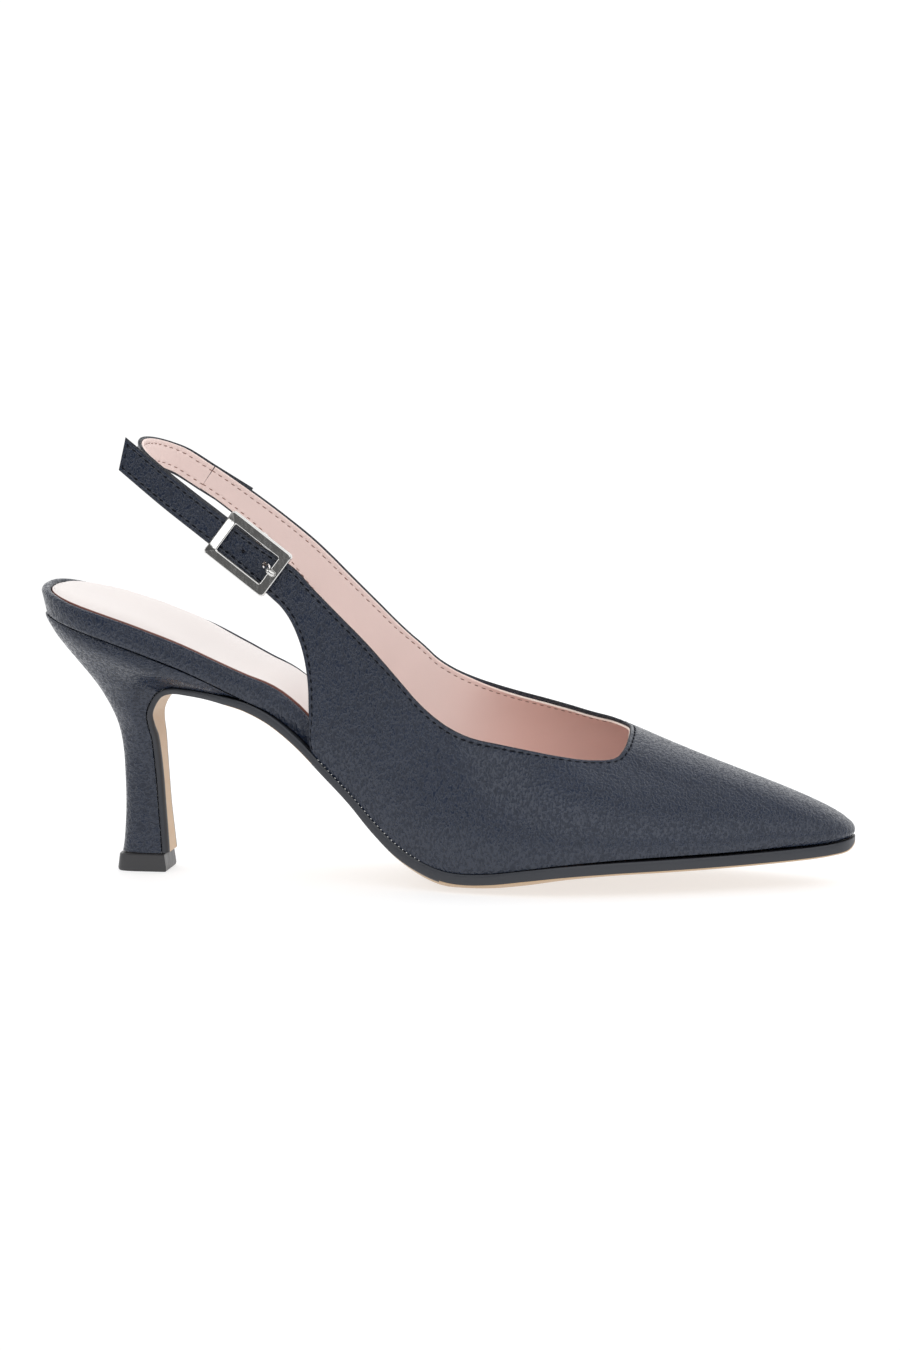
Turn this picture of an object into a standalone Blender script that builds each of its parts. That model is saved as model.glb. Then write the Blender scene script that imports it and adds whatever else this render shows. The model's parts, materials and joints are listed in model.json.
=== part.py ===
"""Slingback pump for a right foot: pointed toe, flared heel and a buckled strap round the heel.

The tables are in millimetres and the objects in metres. In the tables x runs from the back of the
heel to the toe, breadths are measured from the middle line, and z is the height above the floor.
The inner side of the foot is at +Y and the outer side, with the buckle, at -Y.
"""
import math
from collections import namedtuple

import bmesh
import bpy
from mathutils import Vector

MM = 0.001

# Driving sizes, in millimetres
SHOE_LENGTH = 250.0
CENTRE_Y = 0.6          # middle of the shoe's whole breadth, off the foot's middle line
TOE_SWING = 4.0         # the toe swings this far to the inner side
SWING_START = 150.0     # x from which it swings
WALL = 1.8              # outer leather and lining of the upper together
GAP = 0.3               # clearance between neighbouring pieces
FEATHER_INSET = 0.8     # foot of the upper, inside the outsole's edge
LINING_CLEARANCE = 0.6  # between the lining's foot and the board
INSIDE_CLEARANCE = FEATHER_INSET + WALL + LINING_CLEARANCE
TOE_ROUND = 7.0         # length over which the snipped toe rounds off
TOE_POWER = 2.5
SEAT_ROUND = 30.0       # length over which the heel seat rounds off
SEAT_POWER = 2.4
EDGE_BEVEL = 0.7        # outsole is this much narrower at the tread than at its top edge
RAND_ROUND = 1.1        # rounding of the covered board's edges
RAND_SHARE = 0.3        # most of the board's height or breadth that the rounding takes
RIM_SOFT = 0.3          # share of the rounding at which an edge turns
RIM_CREST = 0.75        # share of the rounding and of the rim's breadth at the rim's crest
RIM_FALL = 0.2          # share of the sock's recess by which the rim falls at its crest
SOCK_THICKNESS = 1.0
SOCK_MARGIN = 1.9       # rand that shows beside the sock
SOCK_BACK_MARGIN = 3.1  # rand that shows behind it
SOCK_TOE_MARGIN = 1.0   # the sock ends this far behind the board's toe
SOCK_RECESS = 0.9       # the sock's bed lies this deep inside the rand's rim at the heel seat
SEAT_CANT = 2.2         # the rand's inner rim stands this much higher than its outer rim
TOP_PIECE_HEIGHT = 5.4
STRAP_THICKNESS = 1.8
STRAP_WIDTH = 9.4
STRAP_EASE = 0.35       # bevel of the strap's edges
SHARP_ANGLE = 40.0      # in degrees; edges sharper than this are not smoothed over
SLOPE_STEP = 0.2        # distance over which the direction of the sole's edge is measured

INNER = 1.0
OUTER = -1.0

# Outsole, from the toe back to the shank and down the front of the heel: x and z of its lower side
# edge, breadth to either side, thickness, and how far the tread sags below the side edge
SoleRow = namedtuple("SoleRow", "x z outer inner thickness sag")
SOLE = [
    SoleRow(250.0, 10.9, 8.0, 7.5, 3.4, 0.6),
    SoleRow(244.0, 9.8, 10.3, 9.8, 3.4, 0.8),
    SoleRow(236.0, 9.0, 13.6, 13.0, 3.4, 1.1),
    SoleRow(222.0, 8.3, 19.6, 19.6, 3.4, 1.5),
    SoleRow(208.0, 7.8, 25.4, 26.0, 3.4, 1.9),
    SoleRow(194.0, 7.4, 30.6, 32.0, 3.4, 2.2),
    SoleRow(180.0, 6.9, 34.6, 36.6, 3.4, 2.4),
    SoleRow(166.0, 5.9, 37.0, 38.6, 3.4, 2.8),
    SoleRow(154.0, 4.4, 36.9, 37.8, 3.4, 3.4),
    SoleRow(144.0, 3.0, 35.6, 35.2, 3.4, 3.2),
    SoleRow(135.0, 2.5, 33.8, 31.9, 3.4, 3.0),
    SoleRow(128.0, 3.4, 32.2, 29.4, 3.3, 3.6),
    SoleRow(121.0, 6.1, 30.6, 27.2, 3.1, 3.2),
    SoleRow(114.0, 10.4, 29.2, 25.6, 2.9, 2.4),
    SoleRow(107.0, 17.0, 28.0, 24.4, 2.6, 1.4),
    SoleRow(99.5, 25.7, 27.0, 23.5, 2.3, 0.6),
    SoleRow(91.5, 33.9, 26.4, 23.0, 2.2, 0.0),
    SoleRow(83.5, 41.8, 25.3, 22.5, 2.4, 0.0),
    SoleRow(75.5, 48.1, 24.6, 22.4, 2.7, 0.0),
    SoleRow(68.0, 52.0, 24.0, 22.8, 2.7, 0.0),
    SoleRow(61.5, 53.9, 22.8, 22.4, 2.4, 0.0),
    SoleRow(55.0, 55.1, 19.6, 19.6, 2.1, 0.0),
    SoleRow(49.0, 55.7, 16.6, 16.6, 1.9, 0.0),
    SoleRow(43.6, 55.9, 13.8, 13.8, 1.8, 0.0),
    SoleRow(39.9, 54.8, 11.8, 11.8, 1.8, 0.0),
    SoleRow(37.7, 52.3, 10.6, 10.6, 1.7, 0.0),
    SoleRow(36.4, 49.2, 9.6, 9.6, 1.7, 0.0),
    SoleRow(36.6, 46.0, 8.6, 8.6, 1.8, 0.0),
    SoleRow(37.5, 41.8, 7.2, 7.2, 1.9, 0.0),
    SoleRow(38.1, 36.0, 6.2, 6.2, 2.0, 0.0),
    SoleRow(38.7, 28.6, 5.7, 5.7, 2.0, 0.0),
    SoleRow(39.3, 20.0, 5.8, 5.8, 2.0, 0.0),
    SoleRow(40.1, 11.0, 6.5, 6.5, 2.0, 0.0),
    SoleRow(40.5, 6.0, 7.0, 7.0, 2.0, 0.0),
]
BREAST_ROWS = 14        # rows at the end of the table that lie against the heel
SOLE_STEPS = 2          # sections worked out for each row of the outsole and the heel
SHANK_END = 66.0        # behind this the board leaves the outsole and lies on the heel
EDGE_LAP = 8.0          # the outsole's breadths are used this far behind the shank's end
TOP_LAP = 4.0           # and its upper face this far

# Heel: its back edge for each breast row of the outsole, its greatest half breadth, and how square
# the section is
HeelRow = namedtuple("HeelRow", "x z half power")
HEEL = [
    HeelRow(0.9, 79.0, 25.4, 2.8),
    HeelRow(1.9, 76.8, 24.6, 2.8),
    HeelRow(3.9, 73.6, 22.6, 2.7),
    HeelRow(7.0, 69.4, 19.6, 2.6),
    HeelRow(10.9, 65.0, 16.6, 2.5),
    HeelRow(15.3, 60.4, 13.8, 2.4),
    HeelRow(18.8, 55.8, 11.6, 2.3),
    HeelRow(21.7, 50.6, 9.8, 2.3),
    HeelRow(24.0, 44.8, 8.0, 2.3),
    HeelRow(25.3, 37.8, 6.7, 2.4),
    HeelRow(25.8, 29.5, 6.1, 2.5),
    HeelRow(26.0, 20.3, 6.2, 2.6),
    HeelRow(25.6, 11.0, 6.8, 2.8),
    HeelRow(25.0, 5.9, 7.2, 3.0),
]
HEEL_FRONT_BLEND = 0.35  # share of a section over which it widens from the breast

# Top piece: back, front and half breadth at its top and at the floor
TopPieceRow = namedtuple("TopPieceRow", "z back front half")
TOP_PIECE = [
    TopPieceRow(TOP_PIECE_HEIGHT, 24.4, 39.2, 7.3),
    TopPieceRow(1.0, 23.9, 39.8, 7.4),
    TopPieceRow(0.0, 24.3, 39.4, 7.0),
]

# Covered board where it lies on the heel: height of its lower edge and breadth to either side
SeatRow = namedtuple("SeatRow", "x z outer inner")
SEAT = [
    SeatRow(0.0, 79.6, 26.0, 26.0),
    SeatRow(12.0, 76.9, 26.0, 26.0),
    SeatRow(26.0, 72.8, 26.1, 26.1),
    SeatRow(38.0, 68.6, 26.0, 26.0),
    SeatRow(49.5, 64.2, 25.7, 25.4),
    SeatRow(61.0, 58.9, 25.2, 24.4),
]
BoardRow = namedtuple("BoardRow", "x thickness")
BOARD = [
    BoardRow(0.0, 6.9),
    BoardRow(26.0, 7.4),
    BoardRow(61.0, 7.5),
    BoardRow(80.0, 8.7),
    BoardRow(89.0, 8.4),
    BoardRow(97.0, 6.8),
    BoardRow(107.0, 4.9),
    BoardRow(120.0, 3.2),
    BoardRow(135.0, 2.6),
    BoardRow(250.0, 2.4),
]
BOARD_TUCK_START = 70.0  # the board narrows from here to fit between the quarters
BOARD_TUCK_END = 85.0
BOARD_TUCK_FADE = 100.0
CANT_START = 50.0        # the higher inner rim fades out from here
CANT_END = 110.0
BED_STEPS = 3           # rows worked out for each row of the board's tables
BED_SPACING = 5.0       # distance between sections of the board and the sock

# Quarters and their straps: lower edge and upper edge of each section across the wall
QuarterRow = namedtuple("QuarterRow", "low_x low_y low_z high_x high_y high_z")
OUTER_QUARTER = [
    QuarterRow(29.0, 20.0, 124.3, 31.3, 20.4, 134.2),
    QuarterRow(42.2, 21.5, 113.7, 47.8, 22.1, 121.2),
    QuarterRow(54.7, 22.6, 104.3, 60.3, 23.1, 111.8),
    QuarterRow(66.7, 23.7, 95.2, 72.3, 24.2, 102.7),
    QuarterRow(75.4, 24.5, 87.5, 83.0, 25.1, 94.7),
    QuarterRow(79.8, 24.9, 83.4, 88.5, 25.7, 90.1),
    QuarterRow(83.2, 25.3, 78.0, 93.5, 26.3, 85.6),
    QuarterRow(86.0, 25.7, 70.3, 98.5, 27.0, 80.8),
    QuarterRow(87.8, 25.9, 61.0, 103.2, 27.6, 76.3),
    QuarterRow(88.7, 25.9, 51.0, 107.6, 28.3, 71.9),
]
INNER_QUARTER = [
    QuarterRow(42.6, 19.6, 118.2, 47.8, 20.4, 125.7),
    QuarterRow(52.2, 21.0, 111.4, 57.6, 21.9, 118.9),
    QuarterRow(63.0, 22.5, 103.4, 68.8, 23.5, 110.6),
    QuarterRow(73.0, 24.0, 95.0, 79.5, 25.0, 102.0),
    QuarterRow(79.0, 24.8, 88.6, 86.0, 25.9, 95.9),
    QuarterRow(82.8, 25.2, 82.6, 91.0, 26.5, 90.8),
    QuarterRow(85.8, 25.2, 74.5, 96.0, 27.1, 85.7),
    QuarterRow(87.7, 24.8, 64.5, 101.0, 27.6, 80.7),
    QuarterRow(88.7, 23.9, 53.0, 105.5, 28.1, 76.1),
]

# Lasted part: x of a section's foot on the sole, its point on the topline, how far the wall rises
# and swells at the foot, and how far it drops and spreads below the topline
LastRow = namedtuple("LastRow", "foot_x top_x top_y top_z rise swell drop spread")
OUTER_LAST = [
    LastRow(89.2, 112.0, 28.9, 67.1, 9.0, 1.6, 9.0, 0.4),
    LastRow(97.0, 116.5, 29.4, 62.1, 10.0, 2.5, 10.0, 0.8),
    LastRow(106.0, 121.0, 29.8, 57.1, 12.0, 3.0, 12.0, 1.0),
    LastRow(116.0, 126.0, 30.0, 52.6, 13.0, 3.2, 13.0, 1.6),
    LastRow(127.0, 131.5, 29.9, 48.9, 14.0, 3.4, 13.0, 2.6),
    LastRow(139.0, 138.0, 29.2, 46.2, 14.0, 3.4, 12.0, 4.0),
    LastRow(152.0, 146.0, 27.8, 44.4, 13.0, 3.2, 11.0, 5.5),
    LastRow(166.0, 154.5, 25.8, 42.5, 12.5, 3.0, 9.5, 7.0),
    LastRow(180.0, 162.5, 23.2, 40.7, 12.0, 2.8, 8.5, 9.0),
    LastRow(194.0, 169.8, 20.2, 39.3, 11.0, 2.5, 8.0, 11.0),
    LastRow(208.0, 176.4, 17.0, 38.9, 10.5, 2.2, 8.5, 14.0),
    LastRow(221.0, 180.1, 14.5, 39.5, 8.9, 3.7, 9.4, 19.6),
    LastRow(232.0, 181.9, 12.0, 40.9, 6.6, 5.8, 10.3, 25.3),
    LastRow(240.0, 182.9, 9.0, 42.3, 6.1, 6.3, 11.5, 30.6),
    LastRow(244.5, 183.3, 5.6, 43.6, 6.3, 6.4, 12.2, 32.6),
    LastRow(247.6, 183.4, 2.5, 44.5, 6.5, 6.4, 12.7, 34.1),
    LastRow(248.9, 183.4, 0.2, 45.1, 6.5, 6.3, 12.9, 34.6),
]
TOE_ROW = LastRow(249.2, 183.3, 1.8, 45.5, 6.5, 6.3, 13.0, 34.6)
INNER_LAST = [
    LastRow(89.2, 110.0, 28.4, 71.9, 10.0, 2.4, 9.0, 0.4),
    LastRow(97.0, 114.5, 28.6, 68.1, 12.0, 3.0, 10.0, 0.6),
    LastRow(106.0, 119.5, 28.7, 63.6, 13.0, 3.4, 12.0, 1.0),
    LastRow(116.0, 125.0, 28.8, 60.3, 14.0, 3.6, 13.0, 1.6),
    LastRow(127.0, 131.0, 28.5, 57.9, 15.0, 3.6, 14.0, 3.0),
    LastRow(139.0, 138.0, 27.4, 56.0, 15.0, 3.4, 13.0, 5.0),
    LastRow(152.0, 145.5, 25.9, 54.2, 15.0, 3.2, 12.0, 7.0),
    LastRow(166.0, 153.5, 23.9, 52.5, 14.0, 3.0, 10.0, 9.0),
    LastRow(180.0, 161.5, 21.2, 50.7, 13.0, 2.8, 8.0, 11.0),
    LastRow(194.0, 168.2, 18.5, 49.1, 12.0, 2.5, 6.5, 13.0),
    LastRow(208.0, 173.6, 16.0, 48.1, 11.0, 2.2, 6.0, 16.0),
    LastRow(221.0, 177.6, 13.9, 47.3, 9.3, 3.7, 7.4, 20.6),
    LastRow(232.0, 180.2, 12.0, 46.7, 6.9, 5.8, 9.8, 26.3),
    LastRow(240.0, 181.8, 9.8, 46.4, 6.3, 6.3, 11.5, 30.6),
    LastRow(244.5, 182.6, 7.6, 46.2, 6.4, 6.4, 12.3, 32.6),
    LastRow(247.6, 183.0, 5.6, 46.0, 6.5, 6.4, 12.8, 34.1),
    LastRow(248.9, 183.2, 3.8, 45.8, 6.5, 6.3, 13.0, 34.6),
]
COLUMN_STEPS = 2        # sections worked out for each row of the upper's tables
WALL_STEPS = 9          # quads between the upper's lower and upper edges

# Strap round the heel: middle of its section, from the inner quarter's strap to the buckle
SlingRow = namedtuple("SlingRow", "x y z")
SLING = [
    SlingRow(44.7, 19.0, 122.2),
    SlingRow(41.0, 17.9, 124.6),
    SlingRow(37.2, 15.2, 126.6),
    SlingRow(34.1, 10.6, 128.0),
    SlingRow(32.5, 4.8, 128.6),
    SlingRow(32.2, -1.4, 128.4),
    SlingRow(33.2, -7.5, 127.2),
    SlingRow(35.8, -12.8, 124.9),
    SlingRow(40.0, -16.4, 121.5),
    SlingRow(45.5, -18.4, 117.2),
    SlingRow(52.0, -19.1, 112.2),
    SlingRow(58.5, -18.8, 107.2),
    SlingRow(64.5, -18.4, 102.6),
    SlingRow(69.0, -18.6, 99.1),
    SlingRow(73.0, -18.9, 96.0),
]
SLING_STEPS = 3

# Buckle, measured along the strap, across it and outwards from the strap's outer face
BUCKLE_X = 69.2
BUCKLE_Z = 99.3
BUCKLE_RISE = 0.8       # middle of the frame above the middle of the strap
BUCKLE_LENGTH = 21.7
BUCKLE_WIDTH = 14.5
WINDOW_LENGTH = 16.7
WINDOW_WIDTH = 9.0
BUCKLE_CORNER = 1.6
CORNER_STEPS = 4        # edges round each corner of the buckle
FRAME_SEAT = 0.45       # underside of the frame above the strap
FRAME_HEIGHT = 1.8
FRAME_BEVEL = 0.4
BAR_WIDTH = 1.8         # centre bar, along the strap
BAR_TOP = -WALL - 0.5
BAR_BOTTOM = BAR_TOP - 1.5
POST_INSIDE = 6.0       # posts that carry the centre bar stand beside the strap
POST_OUTSIDE = 7.1
PRONG_WIDTH = 1.8
PRONG_THICKNESS = 1.1
PRONG_TIP = 0.75        # share of the prong's width at its tip
PRONG_CROWN = 0.7       # share of the prong's width at its upper face
SLOT_FROM = 4.4
SLOT_TO = 8.3
SLOT_WIDTH = 2.6

# Side of the prong: middle line, along the strap and outwards
PRONG_LINE = [(1.25, -2.9), (4.4, -2.9), (6.2, -1.3), (7.0, 1.2), (8.2, 2.9), (9.4, 3.15), (11.0, 3.15)]

TOE_ANGLES = (84.0, 72.0, 60.0, 46.0, 32.0, 16.0)
SEAT_ANGLES = (84.0, 72.0, 60.0, 48.0, 36.0, 24.0, 12.0)
TREAD_SHARES = (-1.0, -0.82, -0.55, 0.0, 0.55, 0.82, 1.0)
SAG_POWER = 4.0         # how flat the tread is across its middle
HEEL_SHARES = 12        # points on either half of a heel section


def blend(before, start, end, after, t):
    """Point of a Catmull-Rom curve, for tuples of any length."""
    point = []
    for a, b, c, d in zip(before, start, end, after):
        slope = (c - a) * t
        bend = (2.0 * a - 5.0 * b + 4.0 * c - d) * t * t
        twist = (3.0 * b - a - 3.0 * c + d) * t ** 3
        point.append(0.5 * (2.0 * b + slope + bend + twist))
    return point


def refine(rows, steps):
    """Rows with steps - 1 new ones between each pair, on a smooth curve through them."""
    kind = type(rows[0])
    make = kind._make if hasattr(kind, "_make") else kind
    fine = []
    for index in range(len(rows) - 1):
        before = rows[max(index - 1, 0)]
        after = rows[min(index + 2, len(rows) - 1)]
        for step in range(steps):
            fine.append(make(blend(before, rows[index], rows[index + 1], after, step / steps)))
    fine.append(rows[-1])
    return fine


def row_at(rows, x):
    """Row worked out at x from the two that lie on either side of it, in a table ordered by x."""
    ordered = sorted(rows, key=lambda row: row.x)
    if x <= ordered[0].x:
        return ordered[0]
    for low, high in zip(ordered, ordered[1:]):
        if x <= high.x:
            share = (x - low.x) / (high.x - low.x)
            return type(low)._make(a + (b - a) * share for a, b in zip(low, high))
    return ordered[-1]


FINE_SOLE = refine(SOLE, SOLE_STEPS)
FLAT_SOLE = [row for row in FINE_SOLE if row.x > SHANK_END - EDGE_LAP]


def rounding(depth, power):
    """Share of the breadth left at a depth, from 0 to 1, into a rounded end."""
    if depth <= 0.0:
        return 1.0
    return max(0.0, 1.0 - min(depth, 1.0) ** power) ** (1.0 / power)


def toe_rounding(x, end):
    """Share of the breadth left at x where the toe ends at end."""
    return rounding((x - end + TOE_ROUND) / TOE_ROUND, TOE_POWER)


def toe_places(end):
    """Places along x that follow the toe's rounded end evenly."""
    reach = [math.sin(math.radians(angle)) ** (2.0 / TOE_POWER) for angle in TOE_ANGLES]
    return [end - TOE_ROUND * (1.0 - share) for share in reach]


def seat_places(start):
    """Places along x that follow the heel seat's rounded end evenly."""
    reach = [math.sin(math.radians(angle)) ** (2.0 / SEAT_POWER) for angle in SEAT_ANGLES]
    return [start + SEAT_ROUND * (1.0 - share) for share in reach]


def side_of(row, side):
    """Breadth of a row to one side of the middle line."""
    return row.inner if side > 0.0 else row.outer


def sole_stations():
    """Outsole rows from toe to heel, each with its direction into the shoe."""
    body = [row for row in FINE_SOLE if row.x < SHOE_LENGTH - TOE_ROUND]
    rows = [row_at(FLAT_SOLE, x) for x in toe_places(SHOE_LENGTH)] + body
    stations = []
    for index, row in enumerate(rows):
        ahead = rows[max(index - 1, 0)]
        behind = rows[min(index + 1, len(rows) - 1)]
        run = Vector((behind.x - ahead.x, behind.z - ahead.z)).normalized()
        stations.append((row, Vector((run.y, 0.0, -run.x))))
    return stations


def sole_top_line():
    """x and z of the outsole's upper face, where it lies under the board."""
    line = []
    for row, inward in sole_stations():
        point = Vector((row.x, 0.0, row.z)) + inward * row.thickness
        if row.x > SHANK_END - TOP_LAP:
            line.append((point.x, point.z))
    return sorted(line)


SOLE_TOP = sole_top_line()


def sole_top(x):
    """Height of the outsole's upper face at x."""
    for (low_x, low_z), (high_x, high_z) in zip(SOLE_TOP, SOLE_TOP[1:]):
        if x <= high_x:
            return low_z + (high_z - low_z) * (x - low_x) / (high_x - low_x)
    return SOLE_TOP[-1][1]


def feather_half(x, side):
    """Breadth of the upper's foot at x."""
    breadth = side_of(row_at(FLAT_SOLE, x), side) - FEATHER_INSET
    return breadth * toe_rounding(x, SHOE_LENGTH - FEATHER_INSET)


def world(point):
    """Table point in millimetres as a place in metres, with the shoe's middle at the origin."""
    x, y, z = point
    reach = max(0.0, x - SWING_START) / (SHOE_LENGTH - SWING_START)
    swing = TOE_SWING * reach ** 2
    return Vector((x - SHOE_LENGTH / 2.0, y + swing - CENTRE_Y, z)) * MM


def material(name, colour, roughness, metallic=0.0):
    """Plain material of one colour."""
    new = bpy.data.materials.new(name)
    new.use_nodes = True
    shader = new.node_tree.nodes["Principled BSDF"]
    shader.inputs["Base Color"].default_value = (*colour, 1.0)
    shader.inputs["Roughness"].default_value = roughness
    shader.inputs["Metallic"].default_value = metallic
    return new


def add_object(name, points, faces, finish):
    """Object from table points and faces, with its faces turned outwards."""
    mesh = bpy.data.meshes.new(name)
    body = bmesh.new()
    corners = [body.verts.new(world(point)) for point in points]
    for face in faces:
        body.faces.new([corners[index] for index in face])
    bmesh.ops.recalc_face_normals(body, faces=body.faces[:])
    if body.calc_volume(signed=True) < 0.0:
        bmesh.ops.reverse_faces(body, faces=body.faces[:])
    body.to_mesh(mesh)
    body.free()
    mesh.shade_smooth()
    mesh.set_sharp_from_angle(angle=math.radians(SHARP_ANGLE))
    mesh.materials.append(finish)
    new = bpy.data.objects.new(name, mesh)
    bpy.context.scene.collection.objects.link(new)
    return new


def loft(name, sections, finish, closed=False):
    """Object skinned over loops of equal length, capped at its ends or joined round."""
    count = len(sections[0])
    points = [point for section in sections for point in section]
    faces = []
    for index in range(len(sections) if closed else len(sections) - 1):
        here = index * count
        there = (index + 1) % len(sections) * count
        for k in range(count):
            after = (k + 1) % count
            faces.append((here + k, here + after, there + after, there + k))
    if not closed:
        for start in (0, (len(sections) - 1) * count):
            faces.extend(cap(start, count))
    return add_object(name, points, faces, finish)


def cap(start, count):
    """Faces that close a loop by joining its points in pairs, from one end to the other."""
    faces = []
    low, high = 0, count - 1
    while high - low > 2:
        faces.append((start + low, start + low + 1, start + high - 1, start + high))
        low += 1
        high -= 1
    if high - low == 2:
        faces.append((start + low, start + low + 1, start + high))
    return faces


def build_outsole(finish):
    """Outsole with a sagging tread, flat where it meets the floor, and its tongue down the heel."""
    sections = []
    for row, inward in sole_stations():
        narrowing = toe_rounding(row.x, SHOE_LENGTH)
        edge = Vector((row.x, 0.0, row.z))
        tread = []
        for share in TREAD_SHARES:
            half = (side_of(row, share) - EDGE_BEVEL) * narrowing
            sag = row.sag * (1.0 - abs(share) ** SAG_POWER)
            point = edge - inward * sag
            tread.append((point.x, half * share, max(point.z, 0.0)))
        top = edge + inward * row.thickness
        upper = [(top.x, side_of(row, share) * narrowing * share, top.z) for share in TREAD_SHARES]
        sections.append(tread + upper[::-1])
    return loft("outsole", sections, finish)


def seat_narrowing(x):
    """Share of the breadth left at x where the heel seat rounds off."""
    return rounding((SEAT_ROUND - x) / SEAT_ROUND, SEAT_POWER)


FINE_SEAT = refine(SEAT, BED_STEPS)
FINE_BOARD = refine(BOARD, BED_STEPS)


def board_bottom(x):
    """Height of the board's lower face at x."""
    if x <= SEAT[-1].x:
        return row_at(FINE_SEAT, x).z
    if x >= BOARD_TUCK_START:
        return sole_top(x) + GAP
    share = (x - SEAT[-1].x) / (BOARD_TUCK_START - SEAT[-1].x)
    return SEAT[-1].z + (sole_top(BOARD_TUCK_START) + GAP - SEAT[-1].z) * share


def board_half(x, side):
    """Breadth of the board at x, before its ends round off."""
    if x <= SEAT[-1].x:
        return side_of(row_at(FINE_SEAT, x), side)
    inside = side_of(row_at(FLAT_SOLE, max(x, BOARD_TUCK_END)), side) - INSIDE_CLEARANCE
    if x >= BOARD_TUCK_END:
        return inside
    share = (x - SEAT[-1].x) / (BOARD_TUCK_END - SEAT[-1].x)
    return side_of(SEAT[-1], side) * (1.0 - share) + inside * share


def bed_sections(start, end, margin, lift):
    """Sections of a layer on the sole: x, breadth to either side, and height of the board's foot."""
    places = seat_places(start)
    step = BED_SPACING * math.ceil((start + SEAT_ROUND) / BED_SPACING)
    while step < end - TOE_ROUND:
        places.append(step)
        step += BED_SPACING
    places += toe_places(end)[::-1]
    layers = []
    for x in places:
        narrowing = seat_narrowing(x - start) * toe_rounding(x, end)
        outer = (board_half(x, OUTER) - margin) * narrowing
        inner = (board_half(x, INNER) - margin) * narrowing
        layers.append((x, outer, inner, board_bottom(x) + lift(x)))
    return layers


def board_thickness(x):
    """Thickness of the board at x."""
    return row_at(FINE_BOARD, x).thickness


def sock_recess(x):
    """Depth of the sock's bed below the board's rim, which fades out between the quarters."""
    fade = (BOARD_TUCK_FADE - x) / (BOARD_TUCK_FADE - BOARD_TUCK_START)
    return SOCK_RECESS * max(0.0, min(1.0, fade))


def seat_cant(x, y):
    """Lift of the board's top at a place, which grows from its outer rim to its inner rim."""
    outer = board_half(x, OUTER)
    fade = max(0.0, min(1.0, (CANT_END - x) / (CANT_END - CANT_START)))
    return SEAT_CANT * fade * (outer + y) / (outer + board_half(x, INNER))


def build_board(finish):
    """Covered board with rounded edges, the rand that shows round the heel seat."""
    sections = []
    for x, outer, inner, foot in bed_sections(0.0, SHOE_LENGTH - INSIDE_CLEARANCE, 0.0, lambda x: 0.0):
        height = board_thickness(x)
        ease = min(RAND_ROUND, height * RAND_SHARE)
        tuck = min(RAND_ROUND, outer * RAND_SHARE)
        bed = min(SOCK_MARGIN, outer / 2.0)
        recess = sock_recess(x)
        rims = [
            (tuck, 0.0),
            (RIM_SOFT * tuck, RIM_SOFT * ease),
            (0.0, ease),
            (0.0, height - ease),
            (RIM_SOFT * tuck, height - RIM_SOFT * ease),
            (RIM_CREST * tuck, height),
            (RIM_CREST * bed, height - RIM_FALL * recess),
            (bed - (1.0 - RIM_CREST) * tuck, height - recess),
        ]
        flat = [(inset - outer, rise) for inset, rise in rims]
        flat += [(inner - inset, rise) for inset, rise in rims[::-1]]
        sections.append([(x, y, foot + rise * (1.0 + seat_cant(x, y) / height)) for y, rise in flat])
    return loft("insole_board", sections, finish)


def build_sock(finish):
    """Thin lining that lies on the board."""
    def lift(x):
        return board_thickness(x) - sock_recess(x) + GAP

    sections = []
    end = SHOE_LENGTH - INSIDE_CLEARANCE - SOCK_TOE_MARGIN
    for x, outer, inner, foot in bed_sections(SOCK_BACK_MARGIN, end, SOCK_MARGIN, lift):
        top = foot + SOCK_THICKNESS
        flat = [(-outer, foot), (-outer, top), (inner, top), (inner, foot)]
        sections.append([(x, y, z + seat_cant(x, y)) for y, z in flat])
    return loft("sock", sections, finish)


def heel_loop(front, front_half, row, ease):
    """Section of the heel, from the outer breast corner round the back to the inner one."""
    back = Vector((row.x, 0.0, row.z))
    half_loop = []
    for k in range(HEEL_SHARES + 1):
        angle = math.pi / 2.0 * k / HEEL_SHARES
        depth = math.sin(angle) ** (2.0 / row.power)
        breadth = row.half * math.cos(angle) ** (2.0 / row.power)
        widen = min(1.0, depth / HEEL_FRONT_BLEND)
        widen = widen * widen * (3.0 - 2.0 * widen)
        breadth *= front_half / row.half * (1.0 - widen) + widen
        point = front.lerp(back, depth)
        half_loop.append((point.x, max(breadth, 0.0), ease(point)))
    outer = [(x, -breadth, z) for x, breadth, z in half_loop]
    return outer + half_loop[-2::-1]


def build_heel(finish):
    """Flared heel block under the board and behind the outsole's tongue."""
    breast = sole_stations()[-(BREAST_ROWS - 1) * SOLE_STEPS - 1:]
    rows = refine(HEEL, SOLE_STEPS)
    sections = []
    for index, ((sole, inward), row) in enumerate(zip(breast, rows)):
        front = Vector((sole.x, 0.0, sole.z)) + inward * (sole.thickness + GAP)
        if index == 0:
            sections.append(heel_loop(front, sole.outer, row, lambda point: board_bottom(point.x) - GAP))
        else:
            sections.append(heel_loop(front, sole.outer, row, lambda point: point.z))
    return loft("heel", sections, finish)


def build_top_piece(finish):
    """Hard cap that the heel stands on."""
    sections = []
    for row in TOP_PIECE:
        back = HeelRow(row.back, row.z, row.half, HEEL[-1].power)
        front = Vector((row.front, 0.0, row.z))
        sections.append(heel_loop(front, row.half, back, lambda point: point.z))
    return loft("top_piece", sections, finish)


def quarter_curve(row, side):
    """Control points of a straight section across a quarter."""
    low = Vector((row.low_x, side * row.low_y, row.low_z))
    high = Vector((row.high_x, side * row.high_y, row.high_z))
    return [low, low.lerp(high, 1.0 / 3.0), low.lerp(high, 2.0 / 3.0), high]


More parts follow.
